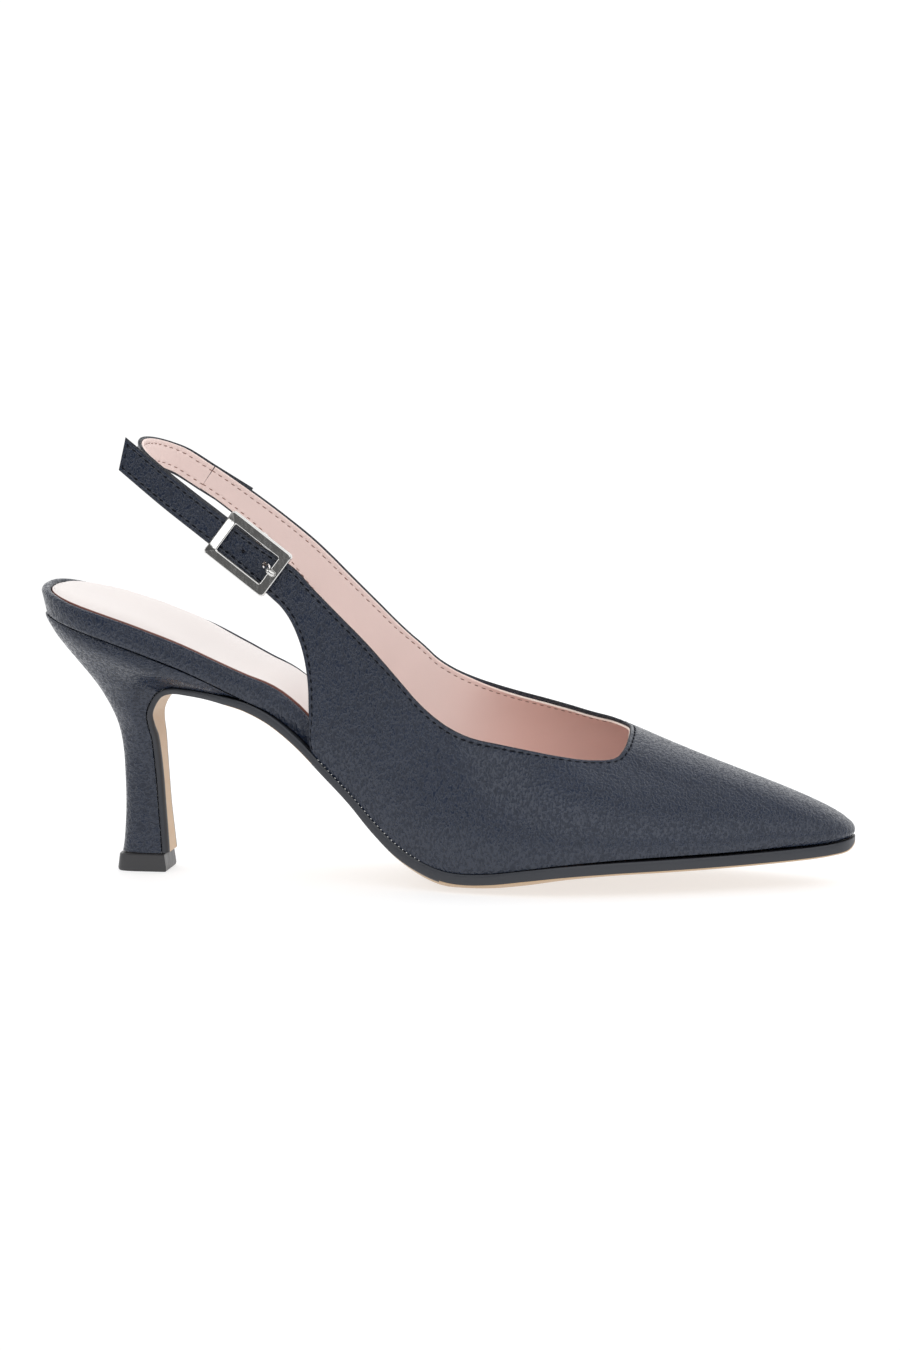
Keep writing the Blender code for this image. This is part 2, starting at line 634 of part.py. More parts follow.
def last_curve(row, side):
    """Control points of a section over the last, from the sole to the topline."""
    half = feather_half(row.foot_x, side)
    low = Vector((row.foot_x, side * half, sole_top(row.foot_x) + GAP))
    high = Vector((row.top_x, side * row.top_y, row.top_z))
    behind = feather_half(row.foot_x - SLOPE_STEP, side)
    slope = (half - behind) / SLOPE_STEP
    outward = Vector((-slope, side, 0.0)).normalized()
    apart = Vector((low.x - high.x, low.y - high.y, 0.0)).normalized()
    return [
        low,
        low + Vector((0.0, 0.0, row.rise)) + outward * row.swell,
        high + apart * row.spread - Vector((0.0, 0.0, row.drop)),
        high,
    ]


def bezier(curve, t):
    """Point of a cubic curve given by its four control points."""
    s = 1.0 - t
    weights = (s ** 3, 3.0 * s * s * t, 3.0 * s * t * t, t ** 3)
    return sum((point * weight for point, weight in zip(curve, weights)), Vector())


def upper_grid():
    """Outer face of the upper: a column of points for each section, strap tip to strap end."""
    curves = [quarter_curve(row, OUTER) for row in OUTER_QUARTER]
    curves += [last_curve(row, OUTER) for row in OUTER_LAST]
    curves.append(last_curve(TOE_ROW, INNER))
    curves += [last_curve(row, INNER) for row in reversed(INNER_LAST)]
    curves += [quarter_curve(row, INNER) for row in reversed(INNER_QUARTER)]
    flat = [tuple(value for point in curve for value in point) for curve in curves]
    first_foot = len(OUTER_QUARTER) * COLUMN_STEPS
    last_foot = (len(curves) - 1 - len(INNER_QUARTER)) * COLUMN_STEPS
    grid = []
    for index, values in enumerate(refine(flat, COLUMN_STEPS)):
        curve = [Vector(values[k:k + 3]) for k in range(0, 12, 3)]
        if first_foot <= index <= last_foot:
            curve[0].z = sole_top(curve[0].x) + GAP
        grid.append([bezier(curve, step / WALL_STEPS) for step in range(WALL_STEPS + 1)])
    return grid


def inner_grid(grid, wall):
    """Inner face of a wall, a set distance inside its outer face."""
    columns = len(grid)
    rows = len(grid[0])
    inner = []
    for i in range(columns):
        column = []
        for j in range(rows):
            along = grid[min(i + 1, columns - 1)][j] - grid[max(i - 1, 0)][j]
            across = grid[i][min(j + 1, rows - 1)] - grid[i][max(j - 1, 0)]
            column.append(grid[i][j] - along.cross(across).normalized() * wall)
        inner.append(column)
    return inner


def shell_faces(columns, rows):
    """Faces of a wall whose outer points come first and inner points after, column by column."""
    inside = columns * rows
    faces = []
    for i in range(columns - 1):
        for j in range(rows - 1):
            here = i * rows + j
            there = here + rows
            faces.append((here, there, there + 1, here + 1))
            faces.append((inside + here, inside + here + 1, inside + there + 1, inside + there))
    for i in range(columns - 1):
        for j in (0, rows - 1):
            here = i * rows + j
            there = here + rows
            faces.append((here, there, inside + there, inside + here))
    for i in (0, columns - 1):
        for j in range(rows - 1):
            here = i * rows + j
            faces.append((here, here + 1, inside + here + 1, inside + here))
    return faces


def build_upper(finish):
    """Hollow upper, open at the throat, at the back and underneath, with the prong's slot cut."""
    grid = upper_grid()
    inner = inner_grid(grid, WALL)
    points = [point for column in grid + inner for point in column]
    upper = add_object("upper", points, shell_faces(len(grid), len(grid[0])), finish)
    slot = [
        [buckle_point(along, across, WALL) for along, across in slot_corners()],
        [buckle_point(along, across, -2.0 * WALL) for along, across in slot_corners()],
    ]
    cutter = loft("prong_slot", slot, finish)
    cutter.hide_render = True
    cutter.display_type = "WIRE"
    cut = upper.modifiers.new("prong_slot", "BOOLEAN")
    cut.operation = "DIFFERENCE"
    cut.solver = "EXACT"
    cut.object = cutter
    return upper


def slot_corners():
    """Corners of the prong's slot, along and across the strap."""
    half = SLOT_WIDTH / 2.0
    return [(SLOT_FROM, -half), (SLOT_TO, -half), (SLOT_TO, half), (SLOT_FROM, half)]


def strap_frame():
    """Directions along the outer quarter's strap, across it and outwards, at the buckle."""
    rear, front = OUTER_QUARTER[2], OUTER_QUARTER[4]
    start = Vector((rear.low_x + rear.high_x, -rear.low_y - rear.high_y, rear.low_z + rear.high_z)) / 2.0
    end = Vector((front.low_x + front.high_x, -front.low_y - front.high_y, front.low_z + front.high_z)) / 2.0
    along = (end - start).normalized()
    near = OUTER_QUARTER[3]
    low = Vector((near.low_x, -near.low_y, near.low_z))
    high = Vector((near.high_x, -near.high_y, near.high_z))
    outward = along.cross(high - low).normalized()
    across = outward.cross(along)
    middle = (low + high) / 2.0
    origin = middle + along * (Vector((BUCKLE_X, middle.y, BUCKLE_Z)) - middle).dot(along)
    return origin, along, across, outward


STRAP_FRAME = strap_frame()


def buckle_point(along, across, out):
    """Table point from distances along the strap, across it and outwards at the buckle."""
    origin, forward, sideways, outward = STRAP_FRAME
    return origin + forward * along + sideways * (across + BUCKLE_RISE) + outward * out


def rounded_rectangle(length, width, corner):
    """Points round a rectangle with round corners."""
    points = []
    for turn, (sign_a, sign_b) in enumerate([(1, 1), (-1, 1), (-1, -1), (1, -1)]):
        for step in range(CORNER_STEPS + 1):
            angle = math.pi / 2.0 * (turn + step / CORNER_STEPS)
            a = sign_a * (length / 2.0 - corner) + corner * math.cos(angle)
            b = sign_b * (width / 2.0 - corner) + corner * math.sin(angle)
            points.append((a, b))
    return points


def build_buckle(finish):
    """Rectangular frame with bevelled rails and a centre bar that passes under the strap."""
    low, high = FRAME_SEAT, FRAME_SEAT + FRAME_HEIGHT
    bevel = FRAME_BEVEL
    rims = [
        (BUCKLE_LENGTH, BUCKLE_WIDTH, low, bevel),
        (BUCKLE_LENGTH, BUCKLE_WIDTH, low + bevel, 0.0),
        (BUCKLE_LENGTH, BUCKLE_WIDTH, high - bevel, 0.0),
        (BUCKLE_LENGTH, BUCKLE_WIDTH, high, bevel),
        (WINDOW_LENGTH, WINDOW_WIDTH, high, -bevel),
        (WINDOW_LENGTH, WINDOW_WIDTH, high - bevel, 0.0),
        (WINDOW_LENGTH, WINDOW_WIDTH, low + bevel, 0.0),
        (WINDOW_LENGTH, WINDOW_WIDTH, low, -bevel),
    ]
    sections = []
    for length, width, height, inset in rims:
        corner = BUCKLE_CORNER if length == BUCKLE_LENGTH else BUCKLE_CORNER / 2.0
        outline = rounded_rectangle(length - 2.0 * inset, width - 2.0 * inset, corner)
        sections.append([buckle_point(a, b, height) for a, b in outline])
    frame = loft("buckle_frame", sections, finish, closed=True)
    inside, outside = POST_INSIDE, POST_OUTSIDE
    middle = (low + high) / 2.0
    staple = [
        (-outside, middle), (-outside, BAR_BOTTOM), (outside, BAR_BOTTOM), (outside, middle),
        (inside, middle), (inside, BAR_TOP), (-inside, BAR_TOP), (-inside, middle),
    ]
    ends = []
    for along in (-BAR_WIDTH / 2.0, BAR_WIDTH / 2.0):
        ends.append([buckle_point(along, across, out) for across, out in staple])
    count = len(staple)
    faces = [tuple(range(count)), tuple(range(2 * count - 1, count - 1, -1))]
    for k in range(count):
        after = (k + 1) % count
        faces.append((k, count + k, count + after, after))
    bar = add_object("centre_bar", ends[0] + ends[1], faces, finish)
    bar.hide_render = True
    bar.display_type = "WIRE"
    join = frame.modifiers.new("centre_bar", "BOOLEAN")
    join.operation = "UNION"
    join.solver = "EXACT"
    join.object = bar
    return frame


def build_prong(finish):
    """Prong from the centre bar, up through the strap's slot and over the front bar."""
    half = PRONG_WIDTH / 2.0
    sections = []
    for index, (along, out) in enumerate(PRONG_LINE):
        before = PRONG_LINE[max(index - 1, 0)]
        after = PRONG_LINE[min(index + 1, len(PRONG_LINE) - 1)]
        run = Vector((after[0] - before[0], after[1] - before[1])).normalized()
        rise = Vector((-run.y, run.x)) * PRONG_THICKNESS / 2.0
        width = half * (PRONG_TIP if index == len(PRONG_LINE) - 1 else 1.0)
        sections.append([
            buckle_point(along - rise.x, -width, out - rise.y),
            buckle_point(along + rise.x, -width * PRONG_CROWN, out + rise.y),
            buckle_point(along + rise.x, width * PRONG_CROWN, out + rise.y),
            buckle_point(along - rise.x, width, out - rise.y),
        ])
    return loft("buckle_prong", sections, finish)


def build_sling(finish):
    """Flat strap round the heel, upright across its path."""
    path = [Vector(row) for row in refine(SLING, SLING_STEPS)]
    half_width = STRAP_WIDTH / 2.0
    half_depth = STRAP_THICKNESS / 2.0
    ease = STRAP_EASE
    rim = [
        (-half_depth, -half_width + ease), (-half_depth + ease, -half_width),
        (half_depth - ease, -half_width), (half_depth, -half_width + ease),
        (half_depth, half_width - ease), (half_depth - ease, half_width),
        (-half_depth + ease, half_width), (-half_depth, half_width - ease),
    ]
    sections = []
    for index, point in enumerate(path):
        run = (path[min(index + 1, len(path) - 1)] - path[max(index - 1, 0)]).normalized()
        upright = Vector((0.0, 0.0, 1.0))
        across = (upright - run * upright.dot(run)).normalized()
        outward = run.cross(across)
        sections.append([point + outward * depth + across * width for depth, width in rim])
    return loft("sling_strap", sections, finish)


def main():
    """Builds every piece of the shoe."""
    for old in list(bpy.data.objects):
        bpy.data.objects.remove(old)
    navy = material("navy_leather", (0.030, 0.033, 0.042), 0.5)
    pink = material("pink_lining", (0.84, 0.74, 0.72), 0.6)
    tan = material("tan_sole", (0.62, 0.45, 0.31), 0.55)
    steel = material("polished_steel", (0.72, 0.72, 0.70), 0.18, 1.0)
    rubber = material("top_piece_plastic", (0.035, 0.035, 0.038), 0.45)
    build_outsole(tan)
    build_board(navy)
    build_sock(pink)
    build_heel(navy)
    build_top_piece(rubber)
    build_upper(navy)
    build_sling(navy)
    build_buckle(steel)
    build_prong(steel)


main()
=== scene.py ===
"""Dressed model of a right slingback pump: leather, lining, stitches, buckle, sole and studio.

The tables are in millimetres: x runs from the back of the heel to the toe, breadths are measured
from the middle line, and z is the height above the floor. The inner side of the foot is at +Y.
Meshes are in metres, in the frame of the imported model.
"""
from __future__ import annotations

import json
import logging
import math
from collections.abc import Callable, Sequence
from dataclasses import dataclass, field
from enum import Enum
from typing import NamedTuple

import bmesh
import bpy
import numpy as np
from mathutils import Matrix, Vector

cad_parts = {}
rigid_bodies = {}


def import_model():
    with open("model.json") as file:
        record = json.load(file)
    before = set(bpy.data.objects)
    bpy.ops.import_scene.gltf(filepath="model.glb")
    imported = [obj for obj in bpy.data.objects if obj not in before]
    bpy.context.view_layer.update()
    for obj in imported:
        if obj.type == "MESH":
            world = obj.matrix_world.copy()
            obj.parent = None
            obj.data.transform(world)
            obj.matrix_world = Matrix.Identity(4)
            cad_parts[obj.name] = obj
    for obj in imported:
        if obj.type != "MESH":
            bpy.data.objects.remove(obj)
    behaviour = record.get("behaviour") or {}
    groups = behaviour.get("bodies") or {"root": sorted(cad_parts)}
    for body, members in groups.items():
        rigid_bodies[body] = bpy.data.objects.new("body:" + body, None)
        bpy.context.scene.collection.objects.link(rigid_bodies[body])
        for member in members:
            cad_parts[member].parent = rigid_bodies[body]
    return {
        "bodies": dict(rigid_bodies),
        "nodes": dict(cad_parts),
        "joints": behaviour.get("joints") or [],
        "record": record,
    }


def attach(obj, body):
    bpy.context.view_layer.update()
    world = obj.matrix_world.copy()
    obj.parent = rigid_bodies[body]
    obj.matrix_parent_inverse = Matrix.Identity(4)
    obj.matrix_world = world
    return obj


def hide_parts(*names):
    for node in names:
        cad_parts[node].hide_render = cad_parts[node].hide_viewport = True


LOG = logging.getLogger("slingback")
MM = 0.001
PER_METRE = 1000.0
LINING_CLEAR = 0.6
BODY = "root"

Colour = tuple[float, float, float]
Point = tuple[float, float, float]
Pair = tuple[float, float]
Face = tuple[int, ...]
Socket = bpy.types.NodeSocket


class Side(Enum):
    """Sides of the foot, with the sign of y on each."""

    INNER = 1.0
    OUTER = -1.0


class Grain(Enum):
    """Grains of leather, with how far each is drawn together along x, y and z."""

    PEBBLE = (1.2, 0.95, 0.72)
    STRETCHED = (0.8, 0.8, 1.2)


class Slot(Enum):
    """Material slots of the record."""

    NAVY = "navy_leather"
    PINK = "pink_lining"
    TAN = "tan_sole"
    STEEL = "polished_steel"
    PLASTIC = "top_piece_plastic"


class SoleRow(NamedTuple):
    """Lower side edge of the outsole, its breadths, thickness and the sag of its tread."""

    x: float
    z: float
    outer: float
    inner: float
    thickness: float
    sag: float


class HeelRow(NamedTuple):
    """Back edge of the heel, its greatest half breadth and how square the section is."""

    x: float
    z: float
    half: float
    power: float


class TopPieceRow(NamedTuple):
    """Level of the top piece with its back, front and half breadth."""

    z: float
    back: float
    front: float
    half: float


class SeatRow(NamedTuple):
    """Lower edge of the covered board over the heel and its breadths."""

    x: float
    z: float
    outer: float
    inner: float


class BoardRow(NamedTuple):
    """Thickness of the covered board along the shoe."""

    x: float
    thickness: float


class QuarterRow(NamedTuple):
    """Lower and upper edge of a section across a quarter or its strap."""

    low_x: float
    low_y: float
    low_z: float
    high_x: float
    high_y: float
    high_z: float


class LastRow(NamedTuple):
    """Foot of a section over the last, its topline point and how the wall bends between them."""

    foot_x: float
    top_x: float
    top_y: float
    top_z: float
    rise: float
    swell: float
    drop: float
    spread: float


class SlingRow(NamedTuple):
    """Middle of the strap that runs round the heel."""

    x: float
    y: float
    z: float


SOLE = tuple(map(SoleRow._make, (
    (250.0, 10.9, 8.0, 7.5, 3.4, 0.6), (244.0, 9.8, 10.3, 9.8, 3.4, 0.8),
    (236.0, 9.0, 13.6, 13.0, 3.4, 1.1), (222.0, 8.3, 19.6, 19.6, 3.4, 1.5),
    (208.0, 7.8, 25.4, 26.0, 3.4, 1.9), (194.0, 7.4, 30.6, 32.0, 3.4, 2.2),
    (180.0, 6.9, 34.6, 36.6, 3.4, 2.4), (166.0, 5.9, 37.0, 38.6, 3.4, 2.8),
    (154.0, 4.4, 36.9, 37.8, 3.4, 3.4), (144.0, 3.0, 35.6, 35.2, 3.4, 3.2),
    (135.0, 2.5, 33.8, 31.9, 3.4, 3.0), (128.0, 3.4, 32.2, 29.4, 3.3, 3.6),
    (121.0, 6.1, 30.6, 27.2, 3.1, 3.2), (114.0, 10.4, 29.2, 25.6, 2.9, 2.4),
    (107.0, 17.0, 28.0, 24.4, 2.6, 1.4), (99.5, 25.7, 27.0, 23.5, 2.3, 0.6),
    (91.5, 33.9, 26.4, 23.0, 2.2, 0.0), (83.5, 41.8, 25.3, 22.5, 2.4, 0.0),
    (75.5, 48.1, 24.6, 22.4, 2.7, 0.0), (68.0, 52.0, 24.0, 22.8, 2.7, 0.0),
    (61.5, 53.9, 22.8, 22.4, 2.4, 0.0), (55.0, 55.1, 19.6, 19.6, 2.1, 0.0),
    (49.0, 55.7, 16.6, 16.6, 1.9, 0.0), (43.6, 55.9, 13.8, 13.8, 1.8, 0.0),
    (39.9, 54.8, 11.8, 11.8, 1.8, 0.0), (37.7, 52.3, 10.6, 10.6, 1.7, 0.0),
    (36.4, 49.2, 9.6, 9.6, 1.7, 0.0), (36.6, 46.0, 8.6, 8.6, 1.8, 0.0),
    (37.5, 41.8, 7.2, 7.2, 1.9, 0.0), (38.1, 36.0, 6.2, 6.2, 2.0, 0.0),
    (38.7, 28.6, 5.7, 5.7, 2.0, 0.0), (39.3, 20.0, 5.8, 5.8, 2.0, 0.0),
    (40.1, 11.0, 6.5, 6.5, 2.0, 0.0), (40.5, 6.0, 7.0, 7.0, 2.0, 0.0),
)))
HEEL = tuple(map(HeelRow._make, (
    (2.2, 79.0, 25.4, 2.8), (3.6, 76.8, 24.6, 2.8), (5.4, 73.6, 22.6, 2.7), (8.4, 69.4, 19.6, 2.6),
    (11.9, 65.0, 16.6, 2.5), (15.6, 60.4, 13.8, 2.4), (18.8, 55.8, 11.6, 2.3),
    (21.7, 50.6, 9.8, 2.3), (24.0, 44.8, 8.0, 2.3), (25.3, 37.8, 6.7, 2.4), (25.8, 29.5, 6.1, 2.5),
    (26.0, 20.3, 6.2, 2.6), (25.6, 11.0, 6.8, 2.8), (25.0, 5.9, 7.2, 3.0),
)))

TOP_PIECE = tuple(map(TopPieceRow._make, (
    (5.4, 24.7, 38.9, 7.0), (5.1, 24.4, 39.2, 7.3), (1.0, 23.9, 39.8, 7.4), (0.3, 24.0, 39.7, 7.3),
    (0.0, 24.3, 39.4, 7.0),
)))

SEAT = tuple(map(SeatRow._make, (
    (0.0, 80.9, 26.0, 26.0), (12.0, 77.1, 26.0, 26.0), (26.0, 72.8, 26.1, 26.1),
    (38.0, 68.6, 26.0, 26.0), (49.5, 64.2, 25.7, 25.4), (61.0, 58.9, 25.2, 24.4),
)))

BOARD = tuple(map(BoardRow._make, (
    (0.0, 6.6), (26.0, 7.4), (61.0, 7.5), (80.0, 8.7), (89.0, 8.4), (97.0, 6.8), (107.0, 4.9),
    (120.0, 3.2), (135.0, 2.6), (250.0, 2.4),
)))

OUTER_QUARTER = tuple(map(QuarterRow._make, (
    (29.0, 20.0, 124.3, 31.3, 20.4, 134.2), (42.2, 21.5, 113.7, 47.8, 22.1, 121.2),
    (54.7, 22.6, 104.3, 60.3, 23.1, 111.8), (66.7, 23.7, 95.2, 72.5, 24.2, 103.0),
    (75.4, 24.5, 87.5, 83.2, 25.1, 96.0), (79.8, 24.9, 83.4, 88.6, 25.7, 90.4),
    (83.2, 25.3, 78.0, 93.5, 26.3, 85.6), (86.0, 25.7, 70.3, 98.5, 27.0, 80.8),
    (87.5, 25.9, 61.0, 103.2, 27.6, 76.3), (87.8, 25.9, 51.0, 107.6, 28.3, 71.9),
)))

INNER_QUARTER = tuple(map(QuarterRow._make, (
    (45.4, 20.0, 116.2, 50.7, 20.9, 123.7), (52.2, 21.0, 111.4, 57.6, 21.9, 118.9),
    (62.5, 22.5, 102.8, 68.8, 23.5, 110.6), (71.4, 24.0, 93.3, 79.5, 25.0, 102.0),
    (76.8, 24.8, 86.4, 86.0, 25.9, 95.9), (81.2, 25.2, 81.0, 91.0, 26.5, 90.8),
    (85.8, 25.2, 74.5, 96.0, 27.1, 85.7), (87.7, 24.8, 64.5, 101.0, 27.6, 80.7),
    (88.7, 23.9, 53.0, 105.5, 28.1, 76.1),
)))

OUTER_LAST = tuple(map(LastRow._make, (
    (88.5, 112.0, 28.9, 67.1, 9.0, 1.6, 9.0, 0.4), (97.0, 116.5, 29.4, 62.1, 10.0, 2.5, 10.0, 0.8),
    (106.0, 121.0, 29.8, 57.1, 12.0, 3.0, 12.0, 1.0),
    (116.0, 126.0, 30.0, 52.6, 13.0, 3.2, 13.0, 1.6),
    (127.0, 131.5, 29.9, 48.9, 14.0, 3.4, 13.0, 2.6),
    (139.0, 138.0, 29.2, 46.2, 14.0, 3.4, 12.0, 4.0),
    (152.0, 146.0, 27.8, 44.4, 13.0, 3.2, 11.0, 5.5),
    (166.0, 154.5, 25.8, 42.5, 12.5, 3.0, 9.5, 7.0),
    (180.0, 162.5, 23.2, 40.7, 12.0, 2.8, 8.5, 9.0),
    (194.0, 169.8, 20.2, 39.3, 11.0, 2.5, 8.0, 11.0),
    (208.0, 176.4, 17.0, 38.9, 10.5, 2.2, 8.5, 14.0),
    (221.0, 179.3, 14.5, 39.5, 8.9, 3.7, 9.4, 19.6),
    (232.0, 180.7, 12.0, 40.9, 6.6, 5.8, 10.3, 25.3),
    (240.0, 181.5, 9.0, 42.3, 6.1, 6.3, 11.5, 30.6),
    (244.5, 181.8, 5.6, 43.6, 6.3, 6.4, 12.2, 32.6),
    (247.6, 181.9, 2.5, 44.5, 6.5, 6.4, 12.7, 34.1),
    (248.9, 181.9, 0.2, 45.1, 6.5, 6.3, 12.9, 34.6),
)))

TOE_ROW = LastRow(249.2, 181.8, 1.8, 45.5, 6.5, 6.3, 13.0, 34.6)

INNER_LAST = tuple(map(LastRow._make, (
    (89.2, 110.0, 28.4, 71.9, 10.0, 2.4, 9.0, 0.4),
    (97.0, 114.5, 28.6, 68.1, 12.0, 3.0, 10.0, 0.6),
    (106.0, 119.5, 28.7, 63.6, 13.0, 3.4, 12.0, 1.0),
    (116.0, 125.0, 28.8, 60.3, 14.0, 3.6, 13.0, 1.6),
    (127.0, 131.0, 28.5, 57.9, 15.0, 3.6, 14.0, 3.0),
    (139.0, 138.0, 27.4, 56.0, 15.0, 3.4, 13.0, 5.0),
    (152.0, 145.5, 25.9, 54.2, 15.0, 3.2, 12.0, 7.0),
    (166.0, 153.5, 23.9, 52.5, 14.0, 3.0, 10.0, 9.0),
    (180.0, 161.5, 21.2, 50.7, 13.0, 2.8, 8.0, 11.0),
    (194.0, 168.2, 18.5, 49.1, 12.0, 2.5, 6.5, 13.0),
    (208.0, 173.6, 16.0, 48.1, 11.0, 2.2, 6.0, 16.0),
    (221.0, 177.0, 13.9, 47.3, 9.3, 3.7, 7.4, 20.6),
    (232.0, 179.2, 12.0, 46.7, 6.9, 5.8, 9.8, 26.3),
    (240.0, 180.5, 9.8, 46.4, 6.3, 6.3, 11.5, 30.6),
    (244.5, 181.2, 7.6, 46.2, 6.4, 6.4, 12.3, 32.6),
    (247.6, 181.5, 5.6, 46.0, 6.5, 6.4, 12.8, 34.1),
    (248.9, 181.7, 3.8, 45.8, 6.5, 6.3, 13.0, 34.6),
)))

SLING = tuple(map(SlingRow._make, (
    (47.6, 19.4, 120.2), (41.0, 17.9, 124.6), (37.2, 15.2, 126.6), (34.1, 10.6, 128.0),
    (32.5, 4.8, 128.6), (32.2, -1.4, 128.4), (33.2, -7.5, 127.2), (35.8, -12.8, 124.9),
    (40.0, -16.4, 121.5), (45.5, -18.4, 117.2), (52.0, -19.1, 112.2), (58.5, -18.8, 107.2),
    (64.5, -18.4, 102.6), (69.0, -18.6, 99.1), (73.0, -18.9, 96.0),
)))

# Column of a side's breadth in the tables of the sole and of the seat.
BREADTH_COLUMN = {Side.OUTER: 2, Side.INNER: 3}
TINY = 1e-9
UP = np.array([0.0, 0.0, 1.0])


def curve_through(rows: np.ndarray, places: np.ndarray) -> np.ndarray:
    """Works out points of a Catmull-Rom curve through table rows.

    Args:
        rows: Table values, one row each.
        places: Places along the rows, where 2.5 is halfway from row 2 to row 3.

    Returns:
        One row of values for each place.
    """
    last = len(rows) - 1
    index = np.clip(np.floor(places).astype(int), 0, last - 1)
    t = (places - index)[:, None]
    a, b = rows[np.maximum(index - 1, 0)], rows[index]
    c, d = rows[index + 1], rows[np.minimum(index + 2, last)]
    bend = (2.0 * a - 5.0 * b + 4.0 * c - d) * t**2 + (3.0 * b - a - 3.0 * c + d) * t**3
    return 0.5 * (2.0 * b + (c - a) * t + bend)


def places_along(count: int, steps: int, ends: Sequence[float] = ()) -> np.ndarray:
    """Gives places along table rows, with more of them close to both ends.

    Args:
        count: How many rows there are.
        steps: How many pieces each interval is cut into.
        ends: Distances of the extra places from each end.

    Returns:
        The places in order.
    """
    last = count - 1.0
    even, close = np.linspace(0.0, last, (count - 1) * steps + 1), np.array(ends, float)
    return np.unique(np.concatenate([even, close, last - close]).round(6)) if len(close) else even


def refine(rows: Sequence[Sequence[float]], steps: int) -> np.ndarray:
    """Table rows with steps - 1 new ones between each pair."""
    return curve_through(np.array(rows, float), places_along(len(rows), steps))


def unit(vectors: np.ndarray) -> np.ndarray:
    """Vectors of length one with the same directions."""
    return vectors / np.maximum(np.linalg.norm(vectors, axis=-1, keepdims=True), TINY)


def run_of(line: np.ndarray) -> np.ndarray:
    """Distance of each point of a line, or of each row of a grid, from its start along it."""
    steps = np.linalg.norm(np.diff(line, axis=0), axis=-1)
    return np.concatenate([np.zeros_like(steps[:1]), np.cumsum(steps, axis=0)])


def smooth_step(value: np.ndarray | float) -> np.ndarray | float:
    """Soft step from 0 to 1 for a value that runs from 0 to 1."""
    held = np.clip(value, 0.0, 1.0)
    return held * held * (3.0 - 2.0 * held)


def bell(value: np.ndarray, centre: float, width: float) -> np.ndarray:
    """Hump that is 1 at the centre and fades on both sides over a width."""
    return np.exp(-(((value - centre) / width) ** 2))


def rounding(depth: np.ndarray, power: float) -> np.ndarray:
    """Share of the breadth left at a depth, from 0 to 1, into a rounded end."""
    return np.maximum(0.0, 1.0 - np.clip(depth, 0.0, 1.0) ** power) ** (1.0 / power)


def round_places(angles: Sequence[float], radius: float, power: float) -> np.ndarray:
    """Distances from the tip of a rounded end that follow its curve evenly, tip first."""
    return radius * (1.0 - np.sin(np.radians(angles)) ** (2.0 / power))


class Ease(NamedTuple):
    """Stretch over which a share eases from 0 to 1, forwards or backwards."""

    start: float
    end: float

    def at(self, place: np.ndarray | float) -> np.ndarray | float:
        """Share at a place."""
        return smooth_step((place - self.start) / (self.end - self.start))


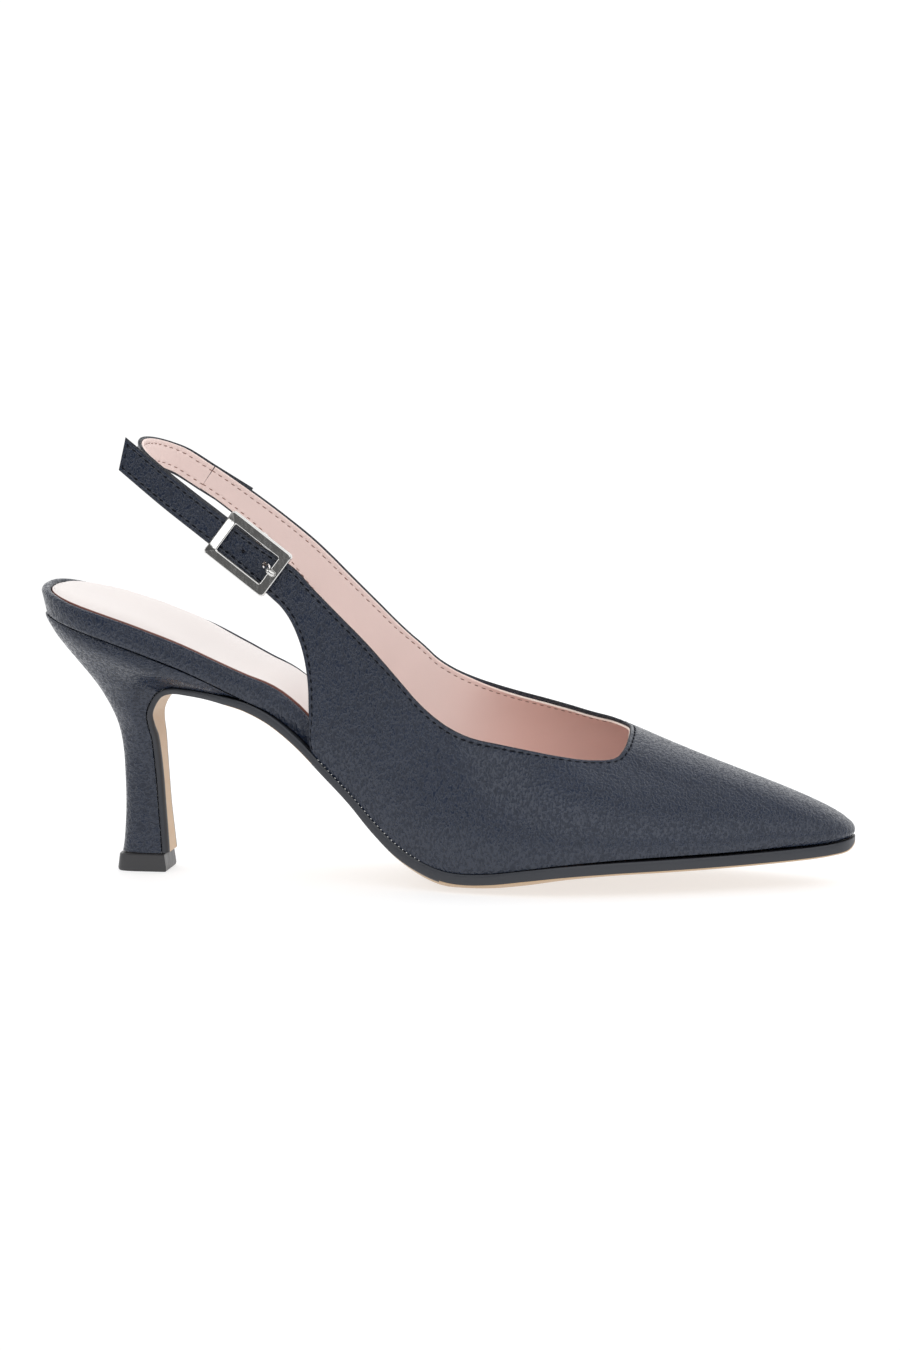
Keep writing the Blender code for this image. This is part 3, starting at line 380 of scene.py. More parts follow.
@dataclass
class Form:
    """Last, sole lines and board lines that every piece is fitted to.

    Sizes are in millimetres and named as the lines of the shoe that they set.
    """

    length: float = 250.0
    centre_y: float = 0.6
    toe_swing: float = 4.0
    swing_start: float = 150.0
    gap: float = 0.3
    feather_inset: float = 0.8
    inside_clearance: float = 3.2
    toe_round: float = 7.0
    toe_power: float = 2.5
    toe_angles: tuple[float, ...] = (
        89.2, 87.0, 84.0, 80.0, 75.0, 70.0, 64.0, 58.0, 51.0, 44.0, 36.0, 27.0, 16.0,
    )
    toe_step: float = 0.5
    seat_round: float = 30.0
    seat_power: float = 2.4
    seat_angles: tuple[float, ...] = (
        89.4, 87.5, 85.0, 82.0, 78.0, 73.0, 67.0, 60.0, 52.0, 44.0, 35.0, 25.0, 14.0,
    )
    shank_end: float = 66.0
    edge_lap: float = 8.0
    top_lap: float = 4.0
    tuck_start: float = 70.0
    tuck_end: float = 85.0
    tuck_fade: float = 100.0
    recess: float = 0.9
    cant: float = 2.2
    cant_start: float = 50.0
    cant_end: float = 110.0
    steps: int = 8
    flat: np.ndarray = field(init=False)
    seat: np.ndarray = field(init=False)
    board: np.ndarray = field(init=False)
    top_line: np.ndarray = field(init=False)

    def __post_init__(self) -> None:
        """Works out the fine lines once."""
        fine = refine(SOLE, self.steps)
        kept = fine[fine[:, 0] > self.shank_end - self.edge_lap]
        self.flat = kept[np.argsort(kept[:, 0])]
        self.seat = refine(SEAT, self.steps)
        self.board = refine(BOARD, self.steps)
        rows, inward = self.sole_stations()
        tops = rows[:, [0, 1]] + inward[:, [0, 2]] * rows[:, 4:5]
        tops = tops[rows[:, 0] > self.shank_end - self.top_lap]
        self.top_line = tops[np.argsort(tops[:, 0])]

    def world(self, points: np.ndarray) -> np.ndarray:
        """Turns table points into places in metres.

        Args:
            points: Table points in millimetres, in rows of x, y and z.

        Returns:
            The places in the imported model's frame.
        """
        room = self.length - self.swing_start
        reach = np.maximum(0.0, points[:, 0] - self.swing_start) / room
        placed = points.astype(float).copy()
        placed[:, 0] -= self.length / 2.0
        placed[:, 1] += self.toe_swing * reach**2 - self.centre_y
        return placed * MM

    def toe_share(self, x: np.ndarray, end: float) -> np.ndarray:
        """Share of the breadth left at x where the toe ends at end."""
        return rounding((x - end + self.toe_round) / self.toe_round, self.toe_power)

    def toe_places(self, end: float) -> np.ndarray:
        """Places along x that follow the toe's rounded end evenly, tip first."""
        return end - round_places(self.toe_angles, self.toe_round, self.toe_power)

    def sole_rows(self, x: np.ndarray) -> np.ndarray:
        """Outsole rows worked out at places along x."""
        return np.stack([np.interp(x, self.flat[:, 0], column) for column in self.flat.T], axis=1)

    def sole_stations(self) -> tuple[np.ndarray, np.ndarray]:
        """Follows the outsole from the toe to the foot of its tongue.

        Returns:
            The rows, and for each its direction into the shoe.
        """
        fine = refine(SOLE, self.steps)
        body = fine[fine[:, 0] < self.length - self.toe_round]
        rows = np.concatenate([self.sole_rows(self.toe_places(self.length)), body])
        run = unit(np.gradient(rows[:, [0, 1]], axis=0))
        return rows, np.stack([run[:, 1], np.zeros(len(rows)), -run[:, 0]], axis=1)

    def sole_top(self, x: np.ndarray) -> np.ndarray:
        """Height of the outsole's upper face at x."""
        return np.interp(x, self.top_line[:, 0], self.top_line[:, 1])

    def sole_half(self, x: np.ndarray, side: Side) -> np.ndarray:
        """Breadth of the outsole at x on one side."""
        return np.interp(x, self.flat[:, 0], self.flat[:, BREADTH_COLUMN[side]])

    def feather_half(self, x: np.ndarray, side: Side) -> np.ndarray:
        """Breadth of the upper's foot at x on one side."""
        breadth = self.sole_half(x, side) - self.feather_inset
        return breadth * self.toe_share(x, self.length - self.feather_inset)

    def board_bottom(self, x: np.ndarray) -> np.ndarray:
        """Height of the covered board's lower face at x."""
        end = SEAT[-1]
        landing = self.sole_top(np.array(self.tuck_start)) + self.gap
        ramp = end.z + (landing - end.z) * (x - end.x) / (self.tuck_start - end.x)
        over = np.interp(x, self.seat[:, 0], self.seat[:, 1])
        under = self.sole_top(x) + self.gap
        return np.where(x <= end.x, over, np.where(x >= self.tuck_start, under, ramp))

    def board_half(self, x: np.ndarray, side: Side) -> np.ndarray:
        """Breadth of the board at x on one side, before its ends round off."""
        column = BREADTH_COLUMN[side]
        end = SEAT[-1]
        seat = np.interp(x, self.seat[:, 0], self.seat[:, column])
        inside = self.sole_half(np.maximum(x, self.tuck_end), side) - self.inside_clearance
        share = np.clip((x - end.x) / (self.tuck_end - end.x), 0.0, 1.0)
        return np.where(x <= end.x, seat, end[column] * (1.0 - share) + inside * share)

    def board_thickness(self, x: np.ndarray) -> np.ndarray:
        """Thickness of the board at x."""
        return np.interp(x, self.board[:, 0], self.board[:, 1])

    def sock_recess(self, x: np.ndarray) -> np.ndarray:
        """Depth of the sock's bed below the board's rim at x."""
        share = (self.tuck_fade - x) / (self.tuck_fade - self.tuck_start)
        return self.recess * np.clip(share, 0.0, 1.0)

    def across(self, x: np.ndarray, y: np.ndarray) -> np.ndarray:
        """Share of the way across the board, from 0 at its outer rim to 1 at its inner rim."""
        outer, inner = self.board_half(x, Side.OUTER), self.board_half(x, Side.INNER)
        return (outer + y) / (outer + inner)

    def seat_cant(self, x: np.ndarray, y: np.ndarray) -> np.ndarray:
        """Lift of the board's top at a place, which grows from its outer rim to its inner rim."""
        fade = np.clip((self.cant_end - x) / (self.cant_end - self.cant_start), 0.0, 1.0)
        return self.cant * fade * self.across(x, y)

    def outline(self, start: float, end: float, spacing: float) -> np.ndarray:
        """Plan outline of the board, from the toe along the outer side and back.

        Args:
            start: Its back end.
            end: Its toe end.
            spacing: Distance between points along the straight parts.

        Returns:
            x and y of the outline's points; a point and its partner, counted from the other end,
            face each other across the shoe.
        """
        middle = np.arange(end - self.toe_round - self.toe_step, start + self.seat_round, -spacing)
        seat = start + round_places(self.seat_angles, self.seat_round, self.seat_power)
        places = np.concatenate([self.toe_places(end), middle, seat[::-1]])
        back = rounding((self.seat_round - places + start) / self.seat_round, self.seat_power)
        share = back * self.toe_share(places, end)
        outer = np.stack([places, -self.board_half(places, Side.OUTER) * share], axis=1)
        inner = np.stack([places, self.board_half(places, Side.INNER) * share], axis=1)
        return np.concatenate([outer, inner[::-1]])


FORM = Form()


class Mesh:
    """Points, faces and attributes of a piece while it is put together."""

    def __init__(self) -> None:
        """Starts with nothing."""
        self.points: list[np.ndarray] = []
        self.faces: list[Face] = []
        self.kinds: list[int] = []
        self.values: dict[str, list[np.ndarray]] = {}
        self.count = 0

    def add(self, points: np.ndarray, **values: np.ndarray) -> int:
        """Adds points with the values of named attributes.

        Args:
            points: Table points, in any grid shape that ends in x, y and z.
            values: Attribute values that spread to that grid; later points without them get 0.

        Returns:
            Index of the first new point.
        """
        first = self.count
        flat = points.reshape(-1, 3)
        for name in set(self.values) | set(values):
            given = np.broadcast_to(values.get(name, 0.0), points.shape[:-1])
            self.values.setdefault(name, []).append(given.reshape(-1))
        self.points.append(flat)
        self.count += len(flat)
        return first

    def face(self, corners: Face, kind: int = 0) -> None:
        """Adds a face with the index of its material."""
        self.faces.append(corners)
        self.kinds.append(kind)

    def skin(self, first: int, rings: int, count: int) -> None:
        """Adds the quads between closed rings of equal length.

        Args:
            first: Index of the first ring's first point.
            rings: How many rings there are.
            count: Points in each ring.
        """
        for here in range(first, first + (rings - 1) * count, count):
            for k in range(count):
                after = (k + 1) % count
                self.face((here + k, here + after, here + count + after, here + count + k))

    def cap(self, first: int, count: int) -> None:
        """Closes a ring by joining points that face each other.

        Args:
            first: Index of the ring's first point.
            count: Points in the ring.
        """
        low, high = 0, count - 1
        while high - low > 2:
            self.face((first + low, first + low + 1, first + high - 1, first + high))
            low, high = low + 1, high - 1
        if high - low == 2:
            self.face((first + low, first + low + 1, first + high))

    def loft(self, rings: Sequence[np.ndarray], **values: np.ndarray) -> "Mesh":
        """Adds closed rings with the skin between them and a cap on both ends.

        Args:
            rings: Points of each ring.
            values: Attribute values for each ring.

        Returns:
            This mesh.
        """
        grid = np.array(rings)
        first, count = self.add(grid, **values), grid.shape[1]
        self.skin(first, len(grid), count)
        self.cap(first, count)
        self.cap(first + (len(grid) - 1) * count, count)
        return self

    def prism(self, ends: Sequence[np.ndarray]) -> "Mesh":
        """Adds two outlines that face each other, with flat ends and the sides between them.

        Args:
            ends: Points of each outline.

        Returns:
            This mesh.
        """
        grid = np.array(ends)
        first, count = self.add(grid), grid.shape[1]
        self.skin(first, 2, count)
        self.face(tuple(range(first, first + count)))
        self.face(tuple(range(first + 2 * count - 1, first + count - 1, -1)))
        return self

    def build(
        self, name: str, materials: Sequence[bpy.types.Material], sharp: float = 50.0,
    ) -> bpy.types.Object:
        """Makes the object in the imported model's frame.

        Args:
            name: Name of the piece.
            materials: Materials in the order of the faces' kinds.
            sharp: Angle in degrees above which an edge stays sharp.

        Returns:
            The new object.
        """
        mesh = bpy.data.meshes.new(name)
        mesh.from_pydata(FORM.world(np.concatenate(self.points)).tolist(), [], self.faces)
        mesh.polygons.foreach_set("material_index", self.kinds)
        for label, parts in self.values.items():
            layer = mesh.attributes.new(label, "FLOAT", "POINT")
            layer.data.foreach_set("value", np.concatenate(parts).astype(np.float32))
        turn_outwards(mesh)
        mesh.shade_smooth()
        mesh.set_sharp_from_angle(angle=math.radians(sharp))
        for finish in materials:
            mesh.materials.append(finish)
        return place_in_scene(name, mesh)


def place_in_scene(name: str, data: bpy.types.ID) -> bpy.types.Object:
    """New object for a mesh, a light or a camera, put into the scene."""
    made = bpy.data.objects.new(name, data)
    bpy.context.scene.collection.objects.link(made)
    return made


def turn_outwards(mesh: bpy.types.Mesh, weld: float = 0.0) -> None:
    """Turns the faces of a closed mesh outwards.

    Args:
        mesh: The mesh.
        weld: Distance in metres within which points are joined first.
    """
    body = bmesh.new()
    body.from_mesh(mesh)
    if weld:
        bmesh.ops.remove_doubles(body, verts=body.verts[:], dist=weld)
    bmesh.ops.recalc_face_normals(body, faces=body.faces[:])
    if body.calc_volume(signed=True) < 0.0:
        bmesh.ops.reverse_faces(body, faces=body.faces[:])
    body.to_mesh(mesh)
    body.free()


def settle(piece: bpy.types.Object) -> bpy.types.Object:
    """Turns a piece's modifiers into plain mesh and gives the piece back."""
    graph = bpy.context.evaluated_depsgraph_get()
    mesh = bpy.data.meshes.new_from_object(
        piece.evaluated_get(graph), preserve_all_data_layers=True, depsgraph=graph,
    )
    piece.modifiers.clear()
    old = piece.data
    piece.data = mesh
    bpy.data.meshes.remove(old)
    mesh.name = piece.name
    return piece


def punch(piece: bpy.types.Object, cutters: Sequence[bpy.types.Object]) -> None:
    """Cuts holes through a piece.

    Args:
        piece: Piece that is cut.
        cutters: Closed objects that are taken away from it.
    """
    for cutter in cutters:
        cut = piece.modifiers.new("hole", "BOOLEAN")
        cut.operation = "DIFFERENCE"
        cut.solver = "EXACT"
        cut.object = cutter
    settle(piece)


def dress(piece: bpy.types.Object, slot: Slot, *nodes: str) -> None:
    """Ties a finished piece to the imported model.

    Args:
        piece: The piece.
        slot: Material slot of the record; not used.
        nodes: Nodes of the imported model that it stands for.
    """
    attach(piece, BODY)
    if nodes:
        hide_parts(*nodes)
    faces = len(piece.data.polygons)
    LOG.info("%s: %d faces, stands for %s", piece.name, faces, ", ".join(nodes) or "trim")


class Ramp(NamedTuple):
    """Range of a value and the range that it is mapped to."""

    low: float
    high: float
    first: float = 0.0
    second: float = 1.0


class Nodes:
    """Node tree that is built step by step."""

    def __init__(self, tree: bpy.types.NodeTree) -> None:
        """Keeps the tree."""
        self.tree = tree

    def feed(self, target: Socket, value: object) -> None:
        """Links a socket to an output or sets its value."""
        if isinstance(value, Socket):
            self.tree.links.new(value, target)
        else:
            target.default_value = value

    def node(
        self, kind: str, feeds: dict[str | int, object] | None = None, **settings: object,
    ) -> bpy.types.Node:
        """Adds a node.

        Args:
            kind: Type of the node.
            feeds: Outputs or values for its inputs.
            settings: Values of its properties.

        Returns:
            The node.
        """
        made = self.tree.nodes.new(kind)
        for name, value in settings.items():
            setattr(made, name, value)
        for name, value in (feeds or {}).items():
            self.feed(made.inputs[name], value)
        return made

    def remap(self, value: object, ramp: Ramp) -> Socket:
        """Maps a range softly to another."""
        names = ("Value", "From Min", "From Max", "To Min", "To Max")
        made = self.node("ShaderNodeMapRange", interpolation_type="SMOOTHSTEP")
        for name, given in zip(names, (value, *ramp)):
            self.feed(made.inputs[name], given)
        return made.outputs["Result"]

    def math(self, operation: str, first: object, second: object) -> Socket:
        """One sum of two values."""
        return self.node("ShaderNodeMath", {0: first, 1: second}, operation=operation).outputs[0]


def opaque(value: object) -> object:
    """A colour with full opacity; anything else as it is."""
    return (*value, 1.0) if isinstance(value, tuple) and len(value) == 3 else value


class Shader(Nodes):
    """Node tree of one material; sizes and depths are in millimetres."""

    def __init__(self, name: str) -> None:
        """Makes the material and keeps its main shader."""
        self.material = bpy.data.materials.new(name)
        self.material.use_nodes = True
        super().__init__(self.material.node_tree)
        self.main = self.tree.nodes["Principled BSDF"]

    def place(self, stretch: Point = (1.0, 1.0, 1.0)) -> Socket:
        """Object coordinates, stretched along the axes."""
        coords = self.node("ShaderNodeTexCoord").outputs["Object"]
        mapping = self.node("ShaderNodeMapping", {"Vector": coords, "Scale": stretch})
        return mapping.outputs["Vector"]

    def forward(self) -> Socket:
        """Distance from the middle of the shoe towards its toe."""
        place = self.place((PER_METRE, PER_METRE, PER_METRE))
        return self.node("ShaderNodeSeparateXYZ", {"Vector": place}).outputs["X"]

    def shift(self, vector: Socket, drift: Socket, reach: float) -> Socket:
        """Moves coordinates by a drift value, up to a reach along each axis."""
        feeds = {0: drift, 1: (reach * MM, -reach * MM, reach * MM), 2: vector}
        return self.node("ShaderNodeVectorMath", feeds, operation="MULTIPLY_ADD").outputs["Vector"]

    def noise(self, vector: Socket, size: float, detail: float = 2.0, warp: float = 0.0) -> Socket:
        """Noise whose features are about as wide as size."""
        feeds = {"Vector": vector, "Scale": PER_METRE / size, "Detail": detail, "Distortion": warp}
        return self.node("ShaderNodeTexNoise", feeds).outputs["Fac"]

    def mix(self, share: object, first: object, second: object) -> Socket:
        """Mixes two colours by a share."""
        feeds = {0: share, 6: opaque(first), 7: opaque(second)}
        return self.node("ShaderNodeMix", feeds, data_type="RGBA").outputs[2]

    def mottled(self, share: Socket, colour: Colour, factors: tuple[float, float]) -> Socket:
        """Colour that wanders between two factors of itself."""
        return self.mix(share, *(shade(colour, factor) for factor in factors))

    def value(self, name: str) -> Socket:
        """Value of a named attribute of the piece."""
        return self.node("ShaderNodeAttribute", attribute_name=name).outputs["Fac"]

    def bump(
        self, height: Socket, depth: float, strength: object, normal: Socket | None = None,
    ) -> Socket:
        """Relief of a depth, on top of another relief if one is given."""
        feeds = {"Height": height, "Distance": depth * MM, "Strength": strength}
        if normal is not None:
            feeds["Normal"] = normal
        return self.node("ShaderNodeBump", feeds).outputs["Normal"]

    def finish(self, **sockets: object) -> bpy.types.Material:
        """Feeds the main shader's sockets, named with _ for a space, and gives the material."""
        for name, value in sockets.items():
            title = name.replace("_", " ").title().replace("Ior", "IOR")
            self.feed(self.main.inputs[title], opaque(value))
        return self.material


def shade(colour: Colour, factor: float) -> Colour:
    """Colour made darker or lighter by a factor."""
    return tuple(min(1.0, value * factor) for value in colour)


@dataclass(frozen=True)
class LeatherFinish:
    """Dark leather with a fine grain and a soft sheen."""

    name: str
    grain: Grain = Grain.PEBBLE
    cell: float = 0.85
    depth: float = 0.17
    colour: Colour = (0.0095, 0.0165, 0.0360)
    band: Colour = (0.013, 0.020, 0.039)
    band_share: float = 0.5
    band_relief: float = 0.3
    drift_size: float = 2.4
    drift_reach: float = 0.9
    warp: float = 0.4
    pebble: Ramp = Ramp(0.30, 0.68)
    pebble_share: float = 0.8
    fine_size: float = 0.45
    fine_share: float = 0.25
    mottle_size: float = 22.0
    mottle: tuple[float, float] = (0.84, 1.16)
    # darker colour in the grain's valleys: painted shade in its hollows
    valley_shade_ramp: Ramp = Ramp(0.15, 0.6, 0.45, 0.0)
    valley_painted_shade: float = 0.4
    # darkening by the groove mask: painted shade along stitch grooves and board crevices, and the
    # darker very edge
    groove_dark: float = 0.15
    groove_dull: float = 0.3
    wave_size: float = 8.0
    wave_depth: float = 0.16
    wave_strength: float = 0.6
    roughness: Ramp = Ramp(0.15, 0.8, 0.47, 0.22)
    gloss: Ramp = Ramp(0.1, 0.7, 0.52, 0.66)

    def material(self) -> bpy.types.Material:
        """Builds the material: grain in relief, duller valleys in it darkened with painted shade,
        and a folded edge.
        """
        tree = Shader(self.name)
        drift = tree.noise(tree.place(), self.drift_size)
        place = tree.shift(tree.place(self.grain.value), drift, self.drift_reach)
        pebbles = tree.remap(tree.noise(place, self.cell, 1.0, self.warp), self.pebble)
        fine = tree.noise(place, self.cell * self.fine_size, 1.0)
        pebbles = tree.math("MULTIPLY", pebbles, self.pebble_share)
        height = tree.math("ADD", pebbles, tree.math("MULTIPLY", fine, self.fine_share))
        edge, groove = tree.value("band"), tree.value("groove")
        broad = tree.noise(tree.place(), self.mottle_size, 3.0)
        base = tree.mottled(broad, self.colour, self.mottle)
        base = tree.mix(tree.math("MULTIPLY", edge, self.band_share), base, self.band)
        # painted shade in the grain's valleys
        base = tree.mix(tree.remap(height, self.valley_shade_ramp), base, shade(self.colour, self.valley_painted_shade))
        # painted shade of grooves and crevices, with the darker very edge
        base = tree.mix(groove, base, shade(self.colour, self.groove_dark))
        waves = tree.noise(tree.place(), self.wave_size)
        normal = tree.bump(waves, self.wave_depth, self.wave_strength)
        relief = tree.math("SUBTRACT", 1.0, tree.math("MULTIPLY", edge, self.band_relief))
        normal = tree.bump(height, self.depth, relief, normal)
        dull = tree.math("MULTIPLY", groove, self.groove_dull)
        rough = tree.math("ADD", tree.remap(height, self.roughness), dull)
        gloss = tree.remap(height, self.gloss)
        return tree.finish(
            base_color=base, roughness=rough, normal=normal, specular_ior_level=gloss,
        )


@dataclass(frozen=True)
class LiningFinish:
    """Smooth pale lining leather with a lighter cut edge."""

    name: str
    colour: Colour = (0.79, 0.625, 0.585)
    # darker, redder colour towards the toe: painted shade inside the toe
    toe_shade: Colour = (0.80, 0.53, 0.47)
    cut: Colour = (0.93, 0.80, 0.72)
    mottle_size: float = 16.0
    mottle: tuple[float, float] = (0.95, 1.04)
    toe_shade_ramp: Ramp = Ramp(-10.0, 26.0)
    crease_stretch: Point = (1.0, 1.0, 0.4)
    crease_size: float = 3.0
    crease_warp: float = 1.2
    crease_depth: float = 0.05
    crease_strength: float = 0.7
    pore_size: float = 0.5
    pore_depth: float = 0.02
    pore_strength: float = 0.6
    roughness: Ramp = Ramp(0.2, 0.8, 0.44, 0.58)

    def material(self) -> bpy.types.Material:
        """Builds the material: mottling, painted shade deep in the toe, fine creases and the cut
        edge.
        """
        tree = Shader(self.name)
        broad = tree.noise(tree.place(), self.mottle_size, 3.0)
        base = tree.mottled(broad, self.colour, self.mottle)
        # painted shade towards the toe
        base = tree.mix(tree.remap(tree.forward(), self.toe_shade_ramp), base, self.toe_shade)
        base = tree.mix(tree.value("cut"), base, self.cut)
        place = tree.place(self.crease_stretch)
        creases = tree.noise(place, self.crease_size, 4.0, self.crease_warp)
        normal = tree.bump(creases, self.crease_depth, self.crease_strength)
        pores = tree.noise(tree.place(), self.pore_size)
        normal = tree.bump(pores, self.pore_depth, self.pore_strength, normal)
        rough = tree.remap(broad, self.roughness)
        return tree.finish(base_color=base, roughness=rough, normal=normal)


@dataclass(frozen=True)
class SockFinish:
    """Very pale sock lining with painted reddish shade along its edge, for the gap beside the
    board's rim.
    """

    name: str
    colour: Colour = (0.72, 0.67, 0.65)
    # reddish colour of the sock's edge: painted shade of the gap between the sock and the board's
    # rim
    rim: Colour = (0.20, 0.07, 0.05)
    mottle_size: float = 26.0
    mottle: tuple[float, float] = (0.96, 1.03)
    dent_size: float = 11.0
    dent_warp: float = 0.6
    dent_depth: float = 0.12
    dent_strength: float = 0.6
    pore_size: float = 0.6
    pore_depth: float = 0.02
    pore_strength: float = 0.5
    roughness: Ramp = Ramp(0.2, 0.8, 0.40, 0.52)

    def material(self) -> bpy.types.Material:
        """Builds the material: soft mottling, faint dents and the painted shade along the edge."""
        tree = Shader(self.name)
        broad = tree.noise(tree.place(), self.mottle_size)
        base = tree.mottled(broad, self.colour, self.mottle)
        # painted shade of the gap along the sock's edge
        base = tree.mix(tree.value("rim"), base, self.rim)
        dents = tree.noise(tree.place(), self.dent_size, warp=self.dent_warp)
        normal = tree.bump(dents, self.dent_depth, self.dent_strength)
        pores = tree.noise(tree.place(), self.pore_size)
        normal = tree.bump(pores, self.pore_depth, self.pore_strength, normal)
        rough = tree.remap(broad, self.roughness)
        return tree.finish(base_color=base, roughness=rough, normal=normal)


@dataclass(frozen=True)
class SmoothFinish:
    """Smooth surface with faint wear, for the sole's edge, its face and the top piece."""

    name: str
    colour: Colour
    roughness: Ramp
    streak: Point = (0.2, 1.0, 1.0)
    streak_size: float = 1.6
    mottle: tuple[float, float] = (0.92, 1.08)
    relief: float = 0.03
    strength: float = 0.6

    def material(self) -> bpy.types.Material:
        """Builds the material: streaks along the piece and a slightly uneven gloss."""
        tree = Shader(self.name)
        streaks = tree.noise(tree.place(self.streak), self.streak_size, 4.0)
        base = tree.mottled(streaks, self.colour, self.mottle)
        rough = tree.remap(streaks, self.roughness)
        normal = tree.bump(streaks, self.relief, self.strength)
        return tree.finish(base_color=base, roughness=rough, normal=normal)


@dataclass(frozen=True)
class MetalFinish:
    """Polished plating."""

    name: str
    colour: Colour = (0.69, 0.685, 0.67)
    roughness: Ramp = Ramp(0.3, 0.7, 0.08, 0.18)
    mark_stretch: Point = (1.0, 1.0, 0.2)
    mark_size: float = 0.7
    mottle: tuple[float, float] = (0.96, 1.03)
    wave_size: float = 3.0
    wave_depth: float = 0.02
    wave_strength: float = 0.5

    def material(self) -> bpy.types.Material:
        """Builds the material: a mirror with faint polishing marks."""
        tree = Shader(self.name)
        marks = tree.noise(tree.place(self.mark_stretch), self.mark_size, 3.0)
        waves = tree.noise(tree.place(), self.wave_size, 1.0)
        normal = tree.bump(waves, self.wave_depth, self.wave_strength)
        base = tree.mottled(marks, self.colour, self.mottle)
        rough = tree.remap(marks, self.roughness)
        return tree.finish(base_color=base, roughness=rough, normal=normal, metallic=1.0)


@dataclass(frozen=True)
class ThreadFinish:
    """Sewing thread whose ends sink into the needle holes, darkened there with painted shade."""

    name: str
    colour: Colour
    # colour of the thread's ends: painted shade where they go into the needle holes
    hole: Colour = (0.004, 0.004, 0.005)
    roughness: float = 0.8
    gloss: float = 0.12
    strand_size: float = 0.25
    strand_depth: float = 0.04
    strand_strength: float = 0.6
    mottle: tuple[float, float] = (0.75, 1.2)
    hole_shade_ramp: Ramp = Ramp(0.62, 0.86)

    def material(self) -> bpy.types.Material:
        """Builds the material: twisted strands in relief and ends darkened with painted shade of
        the holes.
        """
        tree = Shader(self.name)
        strands = tree.noise(tree.place(), self.strand_size)
        base = tree.mottled(strands, self.colour, self.mottle)
        # painted shade of the needle holes on the thread's ends
        base = tree.mix(tree.remap(tree.value("tip"), self.hole_shade_ramp), base, self.hole)
        normal = tree.bump(strands, self.strand_depth, self.strand_strength)
        return tree.finish(
            base_color=base, roughness=self.roughness, normal=normal, specular_ior_level=self.gloss,
        )


@dataclass(frozen=True)
class Palette:
    """Materials of every piece."""

    leather: bpy.types.Material
    heel_leather: bpy.types.Material
    lining: bpy.types.Material
    sock: bpy.types.Material
    edge: bpy.types.Material
    tan: bpy.types.Material
    steel: bpy.types.Material
    plastic: bpy.types.Material
    dark_thread: bpy.types.Material
    brown_thread: bpy.types.Material
    pale_thread: bpy.types.Material

    @staticmethod
    def make() -> "Palette":
        """Builds every finish once."""
        leather_like = Ramp(0.25, 0.75, 0.37, 0.50)
        moulded = Ramp(0.25, 0.75, 0.31, 0.44)
        finishes = {
            "leather": LeatherFinish("grained_leather"),
            "heel_leather": LeatherFinish("heel_leather", Grain.STRETCHED, 0.9),
            "lining": LiningFinish("pink_lining_leather"),
            "sock": SockFinish("sock_leather"),
            "edge": SmoothFinish("sole_edge_dye", (0.028, 0.031, 0.039), leather_like),
            "tan": SmoothFinish(
                "tan_sole_leather", (0.55, 0.385, 0.235), leather_like, mottle=(0.94, 1.06),
            ),
            "steel": MetalFinish("polished_nickel"),
            "plastic": SmoothFinish(
                "top_piece_hard_plastic", (0.034, 0.034, 0.037), moulded, (1.0, 1.0, 0.3),
            ),
            "dark_thread": ThreadFinish("dark_thread", (0.005, 0.006, 0.010)),
            "brown_thread": ThreadFinish(
                "brown_thread", (0.24, 0.13, 0.105), (0.035, 0.016, 0.014),
            ),
            "pale_thread": ThreadFinish("pale_thread", (0.70, 0.70, 0.68), (0.20, 0.20, 0.20)),
        }
        return Palette(**{role: finish.material() for role, finish in finishes.items()})


class StitchPath(NamedTuple):
    """Line of a row of stitches, with the direction out of the surface at each point."""

    points: np.ndarray
    lifts: np.ndarray


